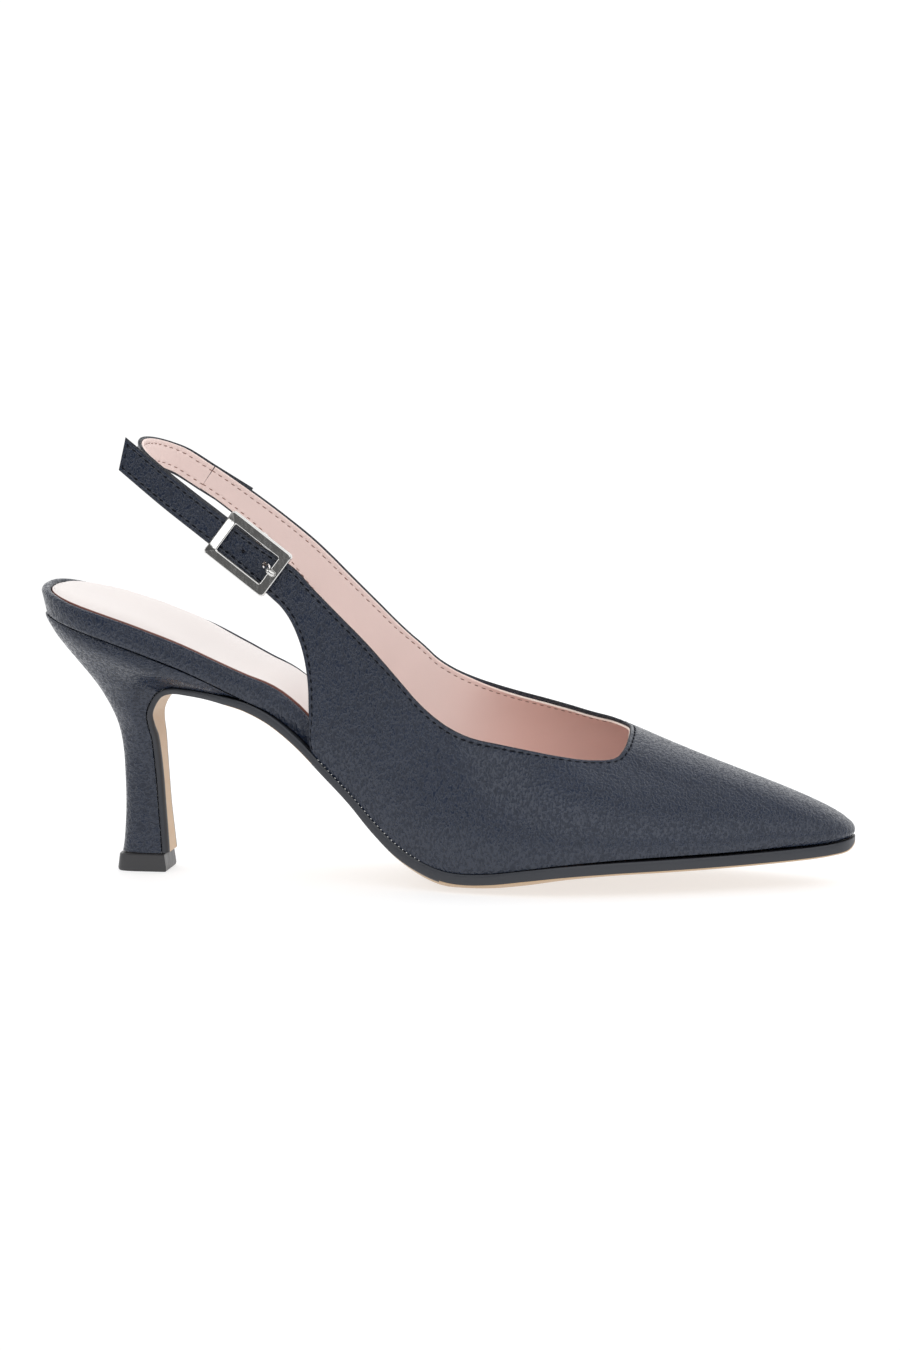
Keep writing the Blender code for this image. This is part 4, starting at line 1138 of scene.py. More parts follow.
@dataclass
class StitchRow:
    """Row of stitches laid along paths by a node tree; sizes in millimetres."""

    pitch: float = 2.5
    length: float = 1.55
    width: float = 0.5
    height: float = 0.40
    slant: float = 7.0
    seed: int = 11
    segments: int = 8
    rings: int = 5
    smallest: Point = (0.86, 0.9, 0.85)
    largest: Point = (1.08, 1.06, 1.1)

    def tree(self) -> tuple[bpy.types.NodeTree, dict[str, str]]:
        """Builds the node tree: a bead with marked tips, laid at even steps along the curves.

        Returns:
            The tree, and the identifier of each of its inputs by name.
        """
        tree = bpy.data.node_groups.new("stitch_row", "GeometryNodeTree")
        shape = "NodeSocketGeometry"
        tree.interface.new_socket("Geometry", in_out="OUTPUT", socket_type=shape)
        measures = ("Pitch", "Length", "Width", "Height", "Slant")
        kinds = {"Geometry": shape, **dict.fromkeys(measures, "NodeSocketFloat")}
        kinds.update({"Seed": "NodeSocketInt", "Thread": "NodeSocketMaterial"})
        names = {
            name: tree.interface.new_socket(name, in_out="INPUT", socket_type=kind).identifier
            for name, kind in kinds.items()
        }
        nodes = Nodes(tree)
        node = nodes.node
        given = node("NodeGroupInput").outputs
        line = node("GeometryNodeMeshToCurve", {"Mesh": given["Geometry"]}).outputs["Curve"]
        spaced = node(
            "GeometryNodeResampleCurve", {"Curve": line, "Length": given["Pitch"]}, mode="LENGTH",
        ).outputs["Curve"]
        lift = node("GeometryNodeInputNamedAttribute", {"Name": "lift"}, data_type="FLOAT_VECTOR")
        tangent = node("GeometryNodeInputTangent").outputs["Tangent"]
        along = node("FunctionNodeAlignRotationToVector", {"Vector": tangent}, axis="X")
        upright = node(
            "FunctionNodeAlignRotationToVector",
            {"Rotation": along.outputs["Rotation"], "Vector": lift.outputs["Attribute"]},
            axis="Z", pivot_axis="X",
        ).outputs["Rotation"]
        bead = node(
            "GeometryNodeMeshUVSphere",
            {"Segments": self.segments, "Rings": self.rings, "Radius": 0.5},
        ).outputs["Mesh"]
        position = node("GeometryNodeInputPosition").outputs["Position"]
        ahead = node("ShaderNodeSeparateXYZ", {"Vector": position}).outputs["X"]
        reach = nodes.math("MULTIPLY", nodes.math("ABSOLUTE", ahead, 0.0), 2.0)
        tipped = node(
            "GeometryNodeStoreNamedAttribute", {"Geometry": bead, "Name": "tip", "Value": reach},
            data_type="FLOAT", domain="POINT",
        ).outputs["Geometry"]
        sizes = {axis: given[name] for axis, name in zip("XYZ", ("Length", "Width", "Height"))}
        size = node("ShaderNodeCombineXYZ", sizes).outputs["Vector"]
        stitch = node("GeometryNodeTransform", {"Geometry": tipped, "Scale": size})
        turn = node("ShaderNodeCombineXYZ", {"Z": given["Slant"]}).outputs["Vector"]
        feeds = {"Geometry": stitch.outputs["Geometry"], "Rotation": turn}
        slanted = node("GeometryNodeTransform", feeds).outputs["Geometry"]
        vary = node(
            "FunctionNodeRandomValue",
            {"Min": self.smallest, "Max": self.largest, "Seed": given["Seed"]},
            data_type="FLOAT_VECTOR",
        ).outputs["Value"]
        feeds = {"Points": spaced, "Instance": slanted, "Rotation": upright, "Scale": vary}
        laid = node("GeometryNodeInstanceOnPoints", feeds).outputs["Instances"]
        real = node("GeometryNodeRealizeInstances", {"Geometry": laid}).outputs["Geometry"]
        soft = node("GeometryNodeSetShadeSmooth", {"Geometry": real}).outputs["Geometry"]
        feeds = {"Geometry": soft, "Material": given["Thread"]}
        node("NodeGroupOutput", {"Geometry": node("GeometryNodeSetMaterial", feeds).outputs[0]})
        return tree, names

    def sew(
        self, name: str, paths: Sequence[StitchPath], thread: bpy.types.Material,
    ) -> bpy.types.Object:
        """Lays stitches along paths.

        Args:
            name: Name of the piece.
            paths: Lines to follow, in table millimetres.
            thread: Material of the thread.

        Returns:
            One plain mesh with every stitch.
        """
        edges, count = [], 0
        for path in paths:
            edges += [(count + k, count + k + 1) for k in range(len(path.points) - 1)]
            count += len(path.points)
        points = FORM.world(np.concatenate([path.points for path in paths]))
        lifts = np.concatenate([path.lifts for path in paths])
        mesh = bpy.data.meshes.new(name)
        mesh.from_pydata(points.tolist(), edges, [])
        layer = mesh.attributes.new("lift", "FLOAT_VECTOR", "POINT")
        layer.data.foreach_set("vector", lifts.astype(np.float32).ravel())
        mesh.materials.append(thread)
        made = place_in_scene(name, mesh)
        rule = made.modifiers.new("stitches", "NODES")
        rule.node_group, names = self.tree()
        sizes = {"Pitch": self.pitch, "Length": self.length, "Width": self.width}
        for label, size in {**sizes, "Height": self.height}.items():
            rule[names[label]] = size * MM
        rule[names["Slant"]] = math.radians(self.slant)
        rule[names["Seed"]] = self.seed
        rule[names["Thread"]] = thread
        return settle(made)


class Span(NamedTuple):
    """Part of a sewn wall's edge that is stitched, in millimetres along it."""

    start: float
    end: float


# Longer than any edge, so that the whole edge is followed.
WHOLE = Span(0.0, 2000.0)


@dataclass
class SewnWall:
    """Leather wall with a lining behind it, sewn along its edges.

    A column of the wall is a curve from its lower edge to its upper edge. Columns marked as lasted
    are drawn under the shoe at their lower edge instead of sewn. Sizes are in millimetres.
    """

    curves: np.ndarray
    lasted: np.ndarray
    sewn_ends: tuple[bool, bool]
    trim: np.ndarray | float
    pale_edge: np.ndarray | float
    leather: float = 1.0
    lining: float = 0.74
    lining_lift: float = 0.06
    lining_foot: float = 0.1
    seam: float = 1.5
    seam_sink: float = 0.07
    lining_seam: float = 1.5
    lining_sink: float = 0.08
    lining_groove: float = 0.10
    lining_groove_width: float = 0.35
    groove_depth: float = 0.12
    groove_width: float = 0.30
    bead: float = 0.045
    bead_place: float = 0.85
    bead_width: float = 0.4
    roll_share: float = 0.86
    band_fade: float = 0.4
    # painted shade along the stitch groove
    seam_painted_shade: float = 0.5
    line_width: float = 0.2
    edge_dark: float = 0.85
    edge_fade: Ease = Ease(0.2, 0.45)
    cut_fade: Ease = Ease(0.3, 0.5)
    edge_rows: tuple[float, ...] = (
        0.0, 0.06, 0.16, 0.3, 0.5, 0.75, 1.0, 1.2, 1.37, 1.5, 1.63, 1.8, 2.1, 2.6, 3.2, 4.0,
    )
    middle_rows: int = 22
    samples: int = 97
    sharp: float = 60.0
    far: float = 99.0
    free_margin: float = 0.4
    line_step: float = 0.6
    probe: float = 0.2
    back_face: float = -0.5
    low: np.ndarray = field(init=False)
    high: np.ndarray = field(init=False)

    def __post_init__(self) -> None:
        """Works out the distances of the grid's points from each edge."""
        lengths = self.lengths()
        edge = np.array(self.edge_rows)
        rows = []
        for total in lengths:
            middle = np.linspace(edge[-1], total - edge[-1], self.middle_rows + 1)[1:-1]
            rows.append(np.concatenate([edge, middle, total - edge[::-1]]))
        self.low = np.array(rows)
        self.high = lengths[:, None] - self.low

    def weights(self, t: np.ndarray) -> np.ndarray:
        """Weights of the four control points at shares of a column."""
        s = 1.0 - t
        return np.stack([s**3, 3.0 * s * s * t, 3.0 * s * t * t, t**3], axis=-1)

    def ruler(self) -> np.ndarray:
        """Distance from the lower edge along each column, at even shares of it."""
        weights = self.weights(np.linspace(0.0, 1.0, self.samples))
        return run_of(np.einsum("sk,ckx->scx", weights, self.curves)).T

    def lengths(self) -> np.ndarray:
        """Length of each column from edge to edge."""
        return self.ruler()[:, -1]

    def at(self, distances: np.ndarray) -> np.ndarray:
        """Points of the outer face at distances from the lower edge.

        Args:
            distances: One row of distances for each column.

        Returns:
            Points in the same grid.
        """
        even = np.linspace(0.0, 1.0, self.samples)
        pairs = zip(distances, self.ruler())
        shares = np.stack([np.interp(want, have, even) for want, have in pairs])
        return np.einsum("crk,ckx->crx", self.weights(shares), self.curves)

    def normals_of(self, points: np.ndarray) -> np.ndarray:
        """Directions out of the outer face at the points of a grid."""
        return unit(np.cross(np.gradient(points, axis=0), np.gradient(points, axis=1)))

    def nearest_edge(self, points: np.ndarray, low: np.ndarray, high: np.ndarray) -> np.ndarray:
        """Distance of grid points from the nearest sewn edge.

        Args:
            points: Grid points.
            low: Their distances from the lower edge.
            high: Their distances from the upper edge.

        Returns:
            Distances in the same grid.
        """
        run = run_of(points)
        far = np.full(run.shape, self.far)
        first = run if self.sewn_ends[0] else far
        last = run[-1] - run if self.sewn_ends[1] else far
        sewn_low = np.where(self.lasted[:, None], far, low)
        return np.minimum(np.minimum(sewn_low, high), np.minimum(first, last))

    def roll(self, distance: np.ndarray, thickness: float) -> np.ndarray:
        """How far a face draws in near a rounded edge of a layer."""
        radius = thickness / 2.0
        inside = np.clip(radius - distance, 0.0, radius)
        return (radius - np.sqrt(np.maximum(radius**2 - inside**2, 0.0))) * self.roll_share

    def slab(
        self, points: np.ndarray, outside: np.ndarray, inside: np.ndarray, **values: np.ndarray,
    ) -> Mesh:
        """Makes a closed layer between two offsets from the outer face.

        Args:
            points: Grid on the wall's outer face.
            outside: Height of the layer's outer face over the wall's outer face.
            inside: Height of the layer's inner face.
            values: Attribute values on the grid.

        Returns:
            The layer.
        """
        mesh = Mesh()
        columns, rows = points.shape[:2]
        normals = self.normals_of(points)
        first = mesh.add(points + normals * outside[..., None], **values)
        second = mesh.add(points + normals * inside[..., None], **values)
        for i in range(columns - 1):
            for j in range(rows - 1):
                a, b = first + i * rows + j, second + i * rows + j
                mesh.face((a, a + rows, a + rows + 1, a + 1))
                mesh.face((b, b + 1, b + rows + 1, b + rows))
            for j in (0, rows - 1):
                a, b = first + i * rows + j, second + i * rows + j
                mesh.face((a, a + rows, b + rows, b))
        for i in (0, columns - 1):
            for j in range(rows - 1):
                a, b = first + i * rows + j, second + i * rows + j
                mesh.face((a, a + 1, b + 1, b))
        return mesh

    def build_leather(
        self, name: str, finish: bpy.types.Material,
        dents: Callable[[np.ndarray], np.ndarray | float] = lambda points: 0.0,
    ) -> bpy.types.Object:
        """Makes the leather layer with its folded edge and stitch groove, with painted shade along
        the groove.

        Args:
            name: Name of the piece.
            finish: Its material.
            dents: Gives the height of soft troughs and ridges at grid points.

        Returns:
            The piece.
        """
        points = self.at(self.low)
        near = self.nearest_edge(points, self.low, self.high)
        tuck = self.roll(near, self.leather)
        groove = -self.groove_depth * bell(near, self.seam, self.groove_width)
        swell = self.bead * bell(near, self.bead_place, self.bead_width)
        band = 1.0 - Ease(self.seam - self.band_fade, self.seam).at(near)
        # groove mask: painted shade along the stitch groove, plus a darker very edge
        dark = self.seam_painted_shade * bell(near, self.seam, self.line_width)
        dark = np.minimum(dark + (1.0 - self.edge_fade.at(near)) * self.edge_dark, 1.0)
        outside = groove + swell + dents(points) - tuck
        mesh = self.slab(points, outside, tuck - self.leather, band=band, groove=dark)
        return mesh.build(name, [finish], self.sharp)

    def build_lining(self, name: str, finish: bpy.types.Material) -> bpy.types.Object:
        """Makes the lining layer behind the leather, trimmed a little below the leather's edges.

        Args:
            name: Name of the piece.
            finish: Its material.

        Returns:
            The piece.
        """
        total = self.lengths()[:, None]
        trim = np.broadcast_to(self.trim, len(total)).reshape(-1, 1)
        foot = np.where(self.lasted[:, None], self.lining_foot, trim)
        low = self.low / total * (total - trim - foot)
        high = total - trim - foot - low
        points = self.at(low + foot)
        near = self.nearest_edge(points, low, high)
        tuck = self.roll(near, self.lining)
        top = -self.leather - self.lining_lift
        groove = self.lining_groove * bell(near, self.lining_seam, self.lining_groove_width)
        pale = np.broadcast_to(self.pale_edge, len(total)).reshape(-1, 1)
        cut = (1.0 - self.cut_fade.at(near)) * pale
        mesh = self.slab(points, top - tuck, top - self.lining + tuck + groove, cut=cut)
        return mesh.build(name, [finish], self.sharp)

    def inner_height(self) -> float:
        """Height of the lining's stitches over the wall's outer face."""
        return -self.leather - self.lining_lift - self.lining + self.lining_sink

    def facing(self, height: float) -> float:
        """Sign of the direction out of the wall at a height: the lining's face looks inwards."""
        return 1.0 if height > self.back_face else -1.0

    def edge_line(
        self, upper: bool, inset: np.ndarray | float, height: float, span: Span | None = None,
    ) -> StitchPath:
        """Line that runs along an edge of the wall.

        Args:
            upper: Whether the upper edge is followed.
            inset: Distance from the edge, for the whole wall or for each column.
            height: Height over the wall's outer face.
            span: Part of the edge that is followed, or the whole with the inset left at its ends.

        Returns:
            The line with the direction out of the wall; on the inner face it points inwards.
        """
        lengths = self.lengths()
        insets = np.broadcast_to(inset, len(lengths))
        want = lengths - insets if upper else insets
        near = self.at(np.stack([want - self.probe, want, want + self.probe], axis=1))
        normals = self.normals_of(near)[:, 1]
        line = near[:, 1] + normals * height
        run = run_of(line)
        start, end = (float(insets[0]) if sewn else self.free_margin for sewn in self.sewn_ends)
        part = span or Span(start, run[-1] - end)
        count = max(3, int((part.end - part.start) / self.line_step))
        places = np.linspace(part.start, part.end, count)
        points, lifts = (
            np.stack([np.interp(places, run, column) for column in values.T], axis=1)
            for values in (line, normals)
        )
        return StitchPath(points, unit(lifts) * self.facing(height))

    def end_line(self, inset: float, height: float) -> StitchPath:
        """Line across the first end of the wall.

        Args:
            inset: Distance from the end and from both edges.
            height: Height over the wall's outer face.

        Returns:
            The line with the direction out of the wall.
        """
        grid = self.at(self.low)
        column = int(np.argmin(np.abs(run_of(grid[:, grid.shape[1] // 2]) - inset)))
        rows = (self.low[column] > inset) & (self.high[column] > inset)
        normals = self.normals_of(grid)[column][rows]
        return StitchPath(grid[column][rows] + normals * height, normals * self.facing(height))


class Fold(NamedTuple):
    """Soft trough or ridge in the leather along a sloping line through x and z."""

    height: float
    x: float
    z: float
    slope: float
    width: float
    centre: float
    reach: float

    def at(self, x: np.ndarray, z: np.ndarray) -> np.ndarray:
        """Height at places on the wall, which fades from the fold's centre along x."""
        across = z - self.z + self.slope * (x - self.x)
        return self.height * bell(across, 0.0, self.width) * bell(x, self.centre, self.reach)


def lining_stitches(seed: int) -> StitchRow:
    """Fine stitches of the lining."""
    return StitchRow(2.4, 1.5, 0.31, 0.26, 5.0, seed)


@dataclass
class Upper:
    """Vamp and quarters with the outer quarter's buckled strap."""

    steps: int = 6
    end_places: tuple[float, ...] = (0.008, 0.02, 0.04, 0.07, 0.11)
    stitch: StitchRow = field(default_factory=StitchRow)
    lining_stitch: StitchRow = field(default_factory=lambda: lining_stitches(5))
    welt_stitch: StitchRow = field(
        default_factory=lambda: StitchRow(1.45, 0.6, 0.32, 0.34, 20.0, 17),
    )
    inner_side: Ease = Ease(-4.0, 4.0)
    trim: float = 0.55
    throat_trim: float = 0.6
    throat: tuple[Ease, Ease] = (Ease(122.0, 150.0), Ease(184.0, 170.0))
    front_trim: float = 0.53
    front: Ease = Ease(170.0, 179.0)
    pale: float = 0.22
    pale_front: Ease = Ease(128.0, 148.0)
    waist_gap: float = 0.10
    toe_gap: float = 0.95
    toe_open: Ease = Ease(135.0, 205.0)
    tip_gap: float = 0.5
    tip_close: Ease = Ease(225.0, 247.0)
    wave: float = 0.10
    wave_lengths: tuple[float, ...] = (13.0, 17.0, 11.0, 23.0)
    folds: tuple[Fold, ...] = (
        Fold(-0.16, 128.0, 30.0, 0.55, 3.2, 124.0, 16.0),
        Fold(0.14, 108.0, 24.0, 0.9, 2.6, 110.0, 12.0),
    )
    slope_step: float = 0.2
    seam_clear: float = 1.0
    waist: Span = Span(3.0, 46.0)
    waist_inset: float = 0.12
    waist_height: float = 0.02
    wall: SewnWall = field(init=False)

    def __post_init__(self) -> None:
        """Works out the wall's columns."""
        rows = [self.quarter(row, Side.OUTER) for row in OUTER_QUARTER]
        rows += [self.section(row, Side.OUTER) for row in OUTER_LAST]
        rows.append(self.section(TOE_ROW, Side.INNER))
        rows += [self.section(row, Side.INNER) for row in reversed(INNER_LAST)]
        rows += [self.quarter(row, Side.INNER) for row in reversed(INNER_QUARTER)]
        places = places_along(len(rows), self.steps, self.end_places)
        curves = curve_through(np.array(rows).reshape(len(rows), 12), places).reshape(-1, 4, 3)
        end = len(rows) - 1.0 - len(INNER_QUARTER)
        lasted = (places >= len(OUTER_QUARTER)) & (places <= end)
        foot = curves[lasted, 0, 0]
        curves[lasted, 0, 2] = FORM.sole_top(foot) + self.foot_gap(foot)
        x, y = curves[:, 3, 0], curves[:, 3, 1]
        throat_start, throat_end = self.throat
        trim = self.throat_trim * self.inner_side.at(y) * throat_start.at(x) * throat_end.at(x)
        trim += self.trim - self.front_trim * self.front.at(x)
        pale = self.pale + (1.0 - self.pale) * self.pale_front.at(x)
        self.wall = SewnWall(curves, lasted, (True, False), trim, pale)

    def foot_gap(self, x: np.ndarray) -> np.ndarray:
        """Space between the upper's foot and the sole, close at the waist and open at the toe."""
        gap = self.waist_gap + self.toe_gap * self.toe_open.at(x)
        return gap - self.tip_gap * self.tip_close.at(x)

    def quarter(self, row: QuarterRow, side: Side) -> list[np.ndarray]:
        """Control points of a straight section across a quarter."""
        low, high = np.array(row).reshape(2, 3) * np.array([1.0, side.value, 1.0])
        return [low, low + (high - low) / 3.0, low + (high - low) * 2.0 / 3.0, high]

    def section(self, row: LastRow, side: Side) -> list[np.ndarray]:
        """Control points of a section over the last, from the sole to the topline."""
        foot = np.array(row.foot_x)
        half = float(FORM.feather_half(foot, side))
        behind = float(FORM.feather_half(foot - self.slope_step, side))
        low = np.array([row.foot_x, side.value * half, float(FORM.sole_top(foot)) + FORM.gap])
        high = np.array([row.top_x, side.value * row.top_y, row.top_z])
        outward = unit(np.array([(behind - half) / self.slope_step, side.value, 0.0]))
        apart = unit((low - high) * (1.0 - UP))
        return [
            low,
            low + UP * row.rise + outward * row.swell,
            high + apart * row.spread - UP * row.drop,
            high,
        ]

    def dents(self, points: np.ndarray) -> np.ndarray:
        """Height of the soft troughs and ridges that lasting leaves in the leather."""
        x, y, z = np.moveaxis(points, -1, 0)
        a, b, c, d = self.wave_lengths
        height = self.wave * np.sin(x / a + z / b) * np.sin(y / c + z / d)
        return height + sum(fold.at(x, z) for fold in self.folds)

    def reach(self, inset: float, height: float, column: int) -> float:
        """Distance of a column along the lower edge's line."""
        whole = self.wall.edge_line(False, inset, height, WHOLE).points
        apart = np.linalg.norm(whole - self.wall.curves[column, 0], axis=1)
        return float(run_of(whole)[np.argmin(apart)])

    def seams(self, height: float, inset: np.ndarray | float) -> list[StitchPath]:
        """Lines along the topline, the back edges of the quarters and the strap's tip.

        Args:
            height: Height over the wall's outer face.
            inset: Distance from the edges, for the whole wall or for each column.

        Returns:
            The lines.
        """
        wall = self.wall
        side = float(np.broadcast_to(inset, len(wall.curves))[0])
        first, last = np.flatnonzero(wall.lasted)[[0, -1]]
        length = float(run_of(wall.edge_line(False, side, height, WHOLE).points)[-1])
        outer = Span(side, self.reach(side, height, first) - self.seam_clear)
        inner = Span(self.reach(side, height, last) + self.seam_clear, length - wall.free_margin)
        lines = [wall.edge_line(False, side, height, span) for span in (outer, inner)]
        return [wall.edge_line(True, inset, height), *lines, wall.end_line(side, height)]

    def build(
        self, palette: Palette, slits: Sequence[bpy.types.Object],
        wide_slits: Sequence[bpy.types.Object],
    ) -> None:
        """Makes the leather, the lining and their stitches.

        Args:
            palette: Materials.
            slits: Holes through the strap's leather.
            wide_slits: The same holes, wider, through its lining.
        """
        wall = self.wall
        leather = wall.build_leather("upper_leather", palette.leather, self.dents)
        lining = wall.build_lining("upper_lining", palette.lining)
        punch(leather, slits)
        punch(lining, wide_slits)
        dress(leather, Slot.NAVY, "upper")
        dress(lining, Slot.PINK)
        rows = self.seams(-wall.seam_sink, wall.seam)
        dress(self.stitch.sew("upper_stitches", rows, palette.dark_thread), Slot.NAVY)
        rows = self.seams(wall.inner_height(), wall.trim + wall.lining_seam)
        dress(self.lining_stitch.sew("lining_stitches", rows, palette.brown_thread), Slot.PINK)
        line = (self.waist_inset, self.waist_height)
        start = self.reach(*line, int(np.argmax(wall.lasted)))
        waist = Span(start + self.waist.start, start + self.waist.end)
        rows = [wall.edge_line(False, *line, waist)]
        dress(self.welt_stitch.sew("waist_stitches", rows, palette.pale_thread), Slot.NAVY)


@dataclass
class SlingStrap:
    """Strap that runs round the back of the heel, lined and sewn like the upper.

    Its leather laps over the inner quarter's strap; its lining ends at the seam.
    """

    width: float = 9.4
    thickness: float = 1.8
    trim: float = 0.62
    pale: float = 0.22
    steps: int = 8
    middle_rows: int = 8
    end_places: tuple[float, ...] = (0.01, 0.03, 0.06)
    lead: float = 0.46
    lap: float = 14.6
    lap_out: float = -0.35
    lap_up: float = 0.35
    lap_rows: tuple[float, ...] = (0.02, 0.04, 0.07, 0.1, 0.13, 0.2, 0.45, 0.7, 0.9)
    stitch: StitchRow = field(default_factory=lambda: StitchRow(seed=23))
    lining_stitch: StitchRow = field(default_factory=lambda: lining_stitches(29))

    def wall(self, lapped: bool) -> SewnWall:
        """Wall of the strap, with its outer face away from the heel.

        Args:
            lapped: Whether it starts with the lap or at the seam.

        Returns:
            The wall.
        """
        places = places_along(len(SLING), self.steps, self.end_places)
        path = curve_through(np.array(SLING, float), places)
        seam = path[0].copy()
        path[0] -= unit(path[1] - path[0]) * (self.lap if lapped else self.lead)
        if lapped:
            path[0] += np.array([0.0, self.lap_out, self.lap_up])
            between = path[0] + (seam - path[0]) * np.array(self.lap_rows)[:, None]
            path = np.concatenate([path[:1], between, path[1:]])
        run = unit(np.gradient(path, axis=0))
        across = unit(UP - run * run[:, 2:3])
        face = path + np.cross(run, across) * self.thickness / 2.0
        shares = (np.linspace(0.0, 1.0, 4) - 0.5) * self.width
        curves = face[:, None, :] + across[:, None, :] * shares[None, :, None]
        lasted = np.zeros(len(curves), bool)
        return SewnWall(
            curves, lasted, (lapped, True), self.trim, self.pale, middle_rows=self.middle_rows,
        )

    def build(self, palette: Palette) -> None:
        """Makes the leather, the lining and the stitches."""
        outer, inner = self.wall(True), self.wall(False)
        leather = outer.build_leather("sling_leather", palette.leather)
        dress(leather, Slot.NAVY, "sling_strap")
        dress(inner.build_lining("sling_lining", palette.lining), Slot.PINK)
        rows = [outer.edge_line(upper, outer.seam, -outer.seam_sink) for upper in (True, False)]
        dress(self.stitch.sew("sling_stitches", rows, palette.dark_thread), Slot.NAVY)
        line = (inner.trim + inner.lining_seam, inner.inner_height())
        rows = [inner.edge_line(upper, *line) for upper in (True, False)]
        thread = self.lining_stitch.sew("sling_lining_stitches", rows, palette.brown_thread)
        dress(thread, Slot.PINK)


def around(count: int) -> np.ndarray:
    """Angles at even steps round a circle."""
    return np.linspace(0.0, 2.0 * math.pi, count + 1)[:-1]


@dataclass
class Buckle:
    """Polished frame with a centre bar, its prong and the holes of the strap."""

    x: float = 69.2
    z: float = 99.3
    rise: float = 0.8
    length: float = 23.0
    width: float = 15.5
    window_length: float = 16.6
    window_width: float = 9.7
    corner: float = 1.25
    corner_close: float = 0.55
    corner_steps: int = 9
    side_steps: int = 7
    seat: float = 0.45
    height: float = 1.8
    bar_width: float = 1.8
    bar_top: float = -2.3
    bar_bottom: float = -3.8
    bar_bevel: float = 0.25
    post_inside: float = 6.0
    post_outside: float = 7.1
    tilt: float = 4.5
    end_slope: float = 0.42
    end_from: float = 0.5
    outer_profile: tuple[Pair, ...] = ((0.12, 0.0), (0.03, 0.1), (0.0, 0.3))
    top_profile: tuple[Pair, ...] = (
        (0.0, -0.30), (0.035, -0.10), (0.10, 0.0), (0.13, 0.0), (0.5, 0.0), (0.86, 0.0),
        (0.89, 0.0), (0.95, -0.09), (1.0, -0.30),
    )
    inner_profile: tuple[Pair, ...] = ((1.0, 0.3), (0.97, 0.1), (0.88, 0.0))
    rail_sharp: float = 28.0
    weld: float = 1e-7
    prong_line: tuple[Pair, ...] = (
        (1.25, -2.9), (4.4, -2.9), (6.2, -1.3), (7.0, 1.2), (8.2, 2.9), (9.3, 3.05), (10.6, 2.95),
    )
    prong_radius: float = 0.85
    prong_flat: float = 0.68
    prong_steps: int = 6
    prong_sides: int = 16
    prong_sharp: float = 70.0
    tip_step: float = 0.22
    tip_length: float = 0.9
    tip_blunt: float = 0.97
    slot_from: float = 4.9
    slot_to: float = 7.8
    slot_width: float = 2.1
    hole_along: float = -1.9
    hole_radius: float = 0.6
    hole_sides: int = 24
    cut_reach: Pair = (1.2, -2.6)

    def frame(self) -> tuple[np.ndarray, np.ndarray, np.ndarray, np.ndarray]:
        """Origin at the buckle, and directions along the strap, across it and outwards."""
        rows = np.array(OUTER_QUARTER[2:5]).reshape(3, 2, 3)
        rear, near, front = rows * np.array([1.0, Side.OUTER.value, 1.0])
        along = unit(front.mean(axis=0) - rear.mean(axis=0))
        outward = unit(np.cross(along, near[1] - near[0]))
        across = np.cross(outward, along)
        middle = near.mean(axis=0)
        offset = np.dot(np.array([self.x, middle[1], self.z]) - middle, along)
        return middle + along * offset, along, across, outward

    def at(
        self, along: np.ndarray | float, across: np.ndarray, out: np.ndarray | float,
    ) -> np.ndarray:
        """Table points from distances along the strap, across it and outwards."""
        origin, *axes = self.frame()
        distances = np.broadcast_arrays(along, across + self.rise, out)
        return origin + sum(np.multiply.outer(far, axis) for far, axis in zip(distances, axes))

    def rectangle(self, length: float, width: float, corner: float) -> np.ndarray:
        """Points round a rectangle with round corners, and between them along its sides."""
        points = []
        for turn, (a, b) in enumerate([(1, 1), (-1, 1), (-1, -1), (1, -1)]):
            angles = math.pi / 2.0 * (turn + np.linspace(0.0, 1.0, self.corner_steps + 1))
            corner_a = a * (length / 2.0 - corner) + corner * np.cos(angles)
            corner_b = b * (width / 2.0 - corner) + corner * np.sin(angles)
            points.append(np.stack([corner_a, corner_b], axis=1))
        closed = []
        for here, after in zip(points, points[1:] + points[:1]):
            closed += [here, np.linspace(here[-1], after[0], self.side_steps + 2)[1:-1]]
        return np.concatenate(closed)

    def build_frame(self, finish: bpy.types.Material) -> bpy.types.Object:
        """Makes the frame with flat rails, bevelled edges and a sloping rear end."""
        low, high = self.seat, self.seat + self.height
        parts = ((self.outer_profile, low), (self.top_profile, high), (self.inner_profile, low))
        rings = []
        for share, height in [(share, base + lift) for part, base in parts for share, lift in part]:
            length = self.length + (self.window_length - self.length) * share
            width = self.width + (self.window_width - self.width) * share
            corner = self.corner * (1.0 - self.corner_close * share)
            along, across = self.rectangle(length, width, corner).T
            behind = np.maximum(0.0, -along - self.window_length / 2.0)
            beside = np.maximum(0.0, np.abs(across) - self.window_width / 2.0)
            fall = np.maximum(0.0, behind - beside) * self.end_slope
            lean = across * math.tan(math.radians(self.tilt))
            drop = lean + fall * (height > self.seat + self.end_from)
            rings.append(self.at(along, across, height - drop))
        mesh = Mesh()
        mesh.skin(mesh.add(np.array(rings + rings[:1])), len(rings) + 1, len(rings[0]))
        frame = mesh.build("buckle_rails", [finish], self.rail_sharp)
        turn_outwards(frame.data, self.weld)
        return frame

    def build_bar(self, finish: bpy.types.Material) -> bpy.types.Object:
        """Makes the centre bar with the two posts that carry it."""
        inside, outside = self.post_inside, self.post_outside
        top, half = self.seat + self.height / 2.0, self.bar_width / 2.0
        staple = np.array([
            (-outside, top), (-outside, self.bar_bottom),
            (outside, self.bar_bottom), (outside, top),
            (inside, top), (inside, self.bar_top), (-inside, self.bar_top), (-inside, top),
        ])
        ends = [self.at(along, staple[:, 0], staple[:, 1]) for along in (-half, half)]
        bar = Mesh().prism(ends).build("buckle_centre_bar", [finish])
        soft = bar.modifiers.new("soft_edges", "BEVEL")
        soft.width = self.bar_bevel * MM
        soft.segments = 2
        return settle(bar)

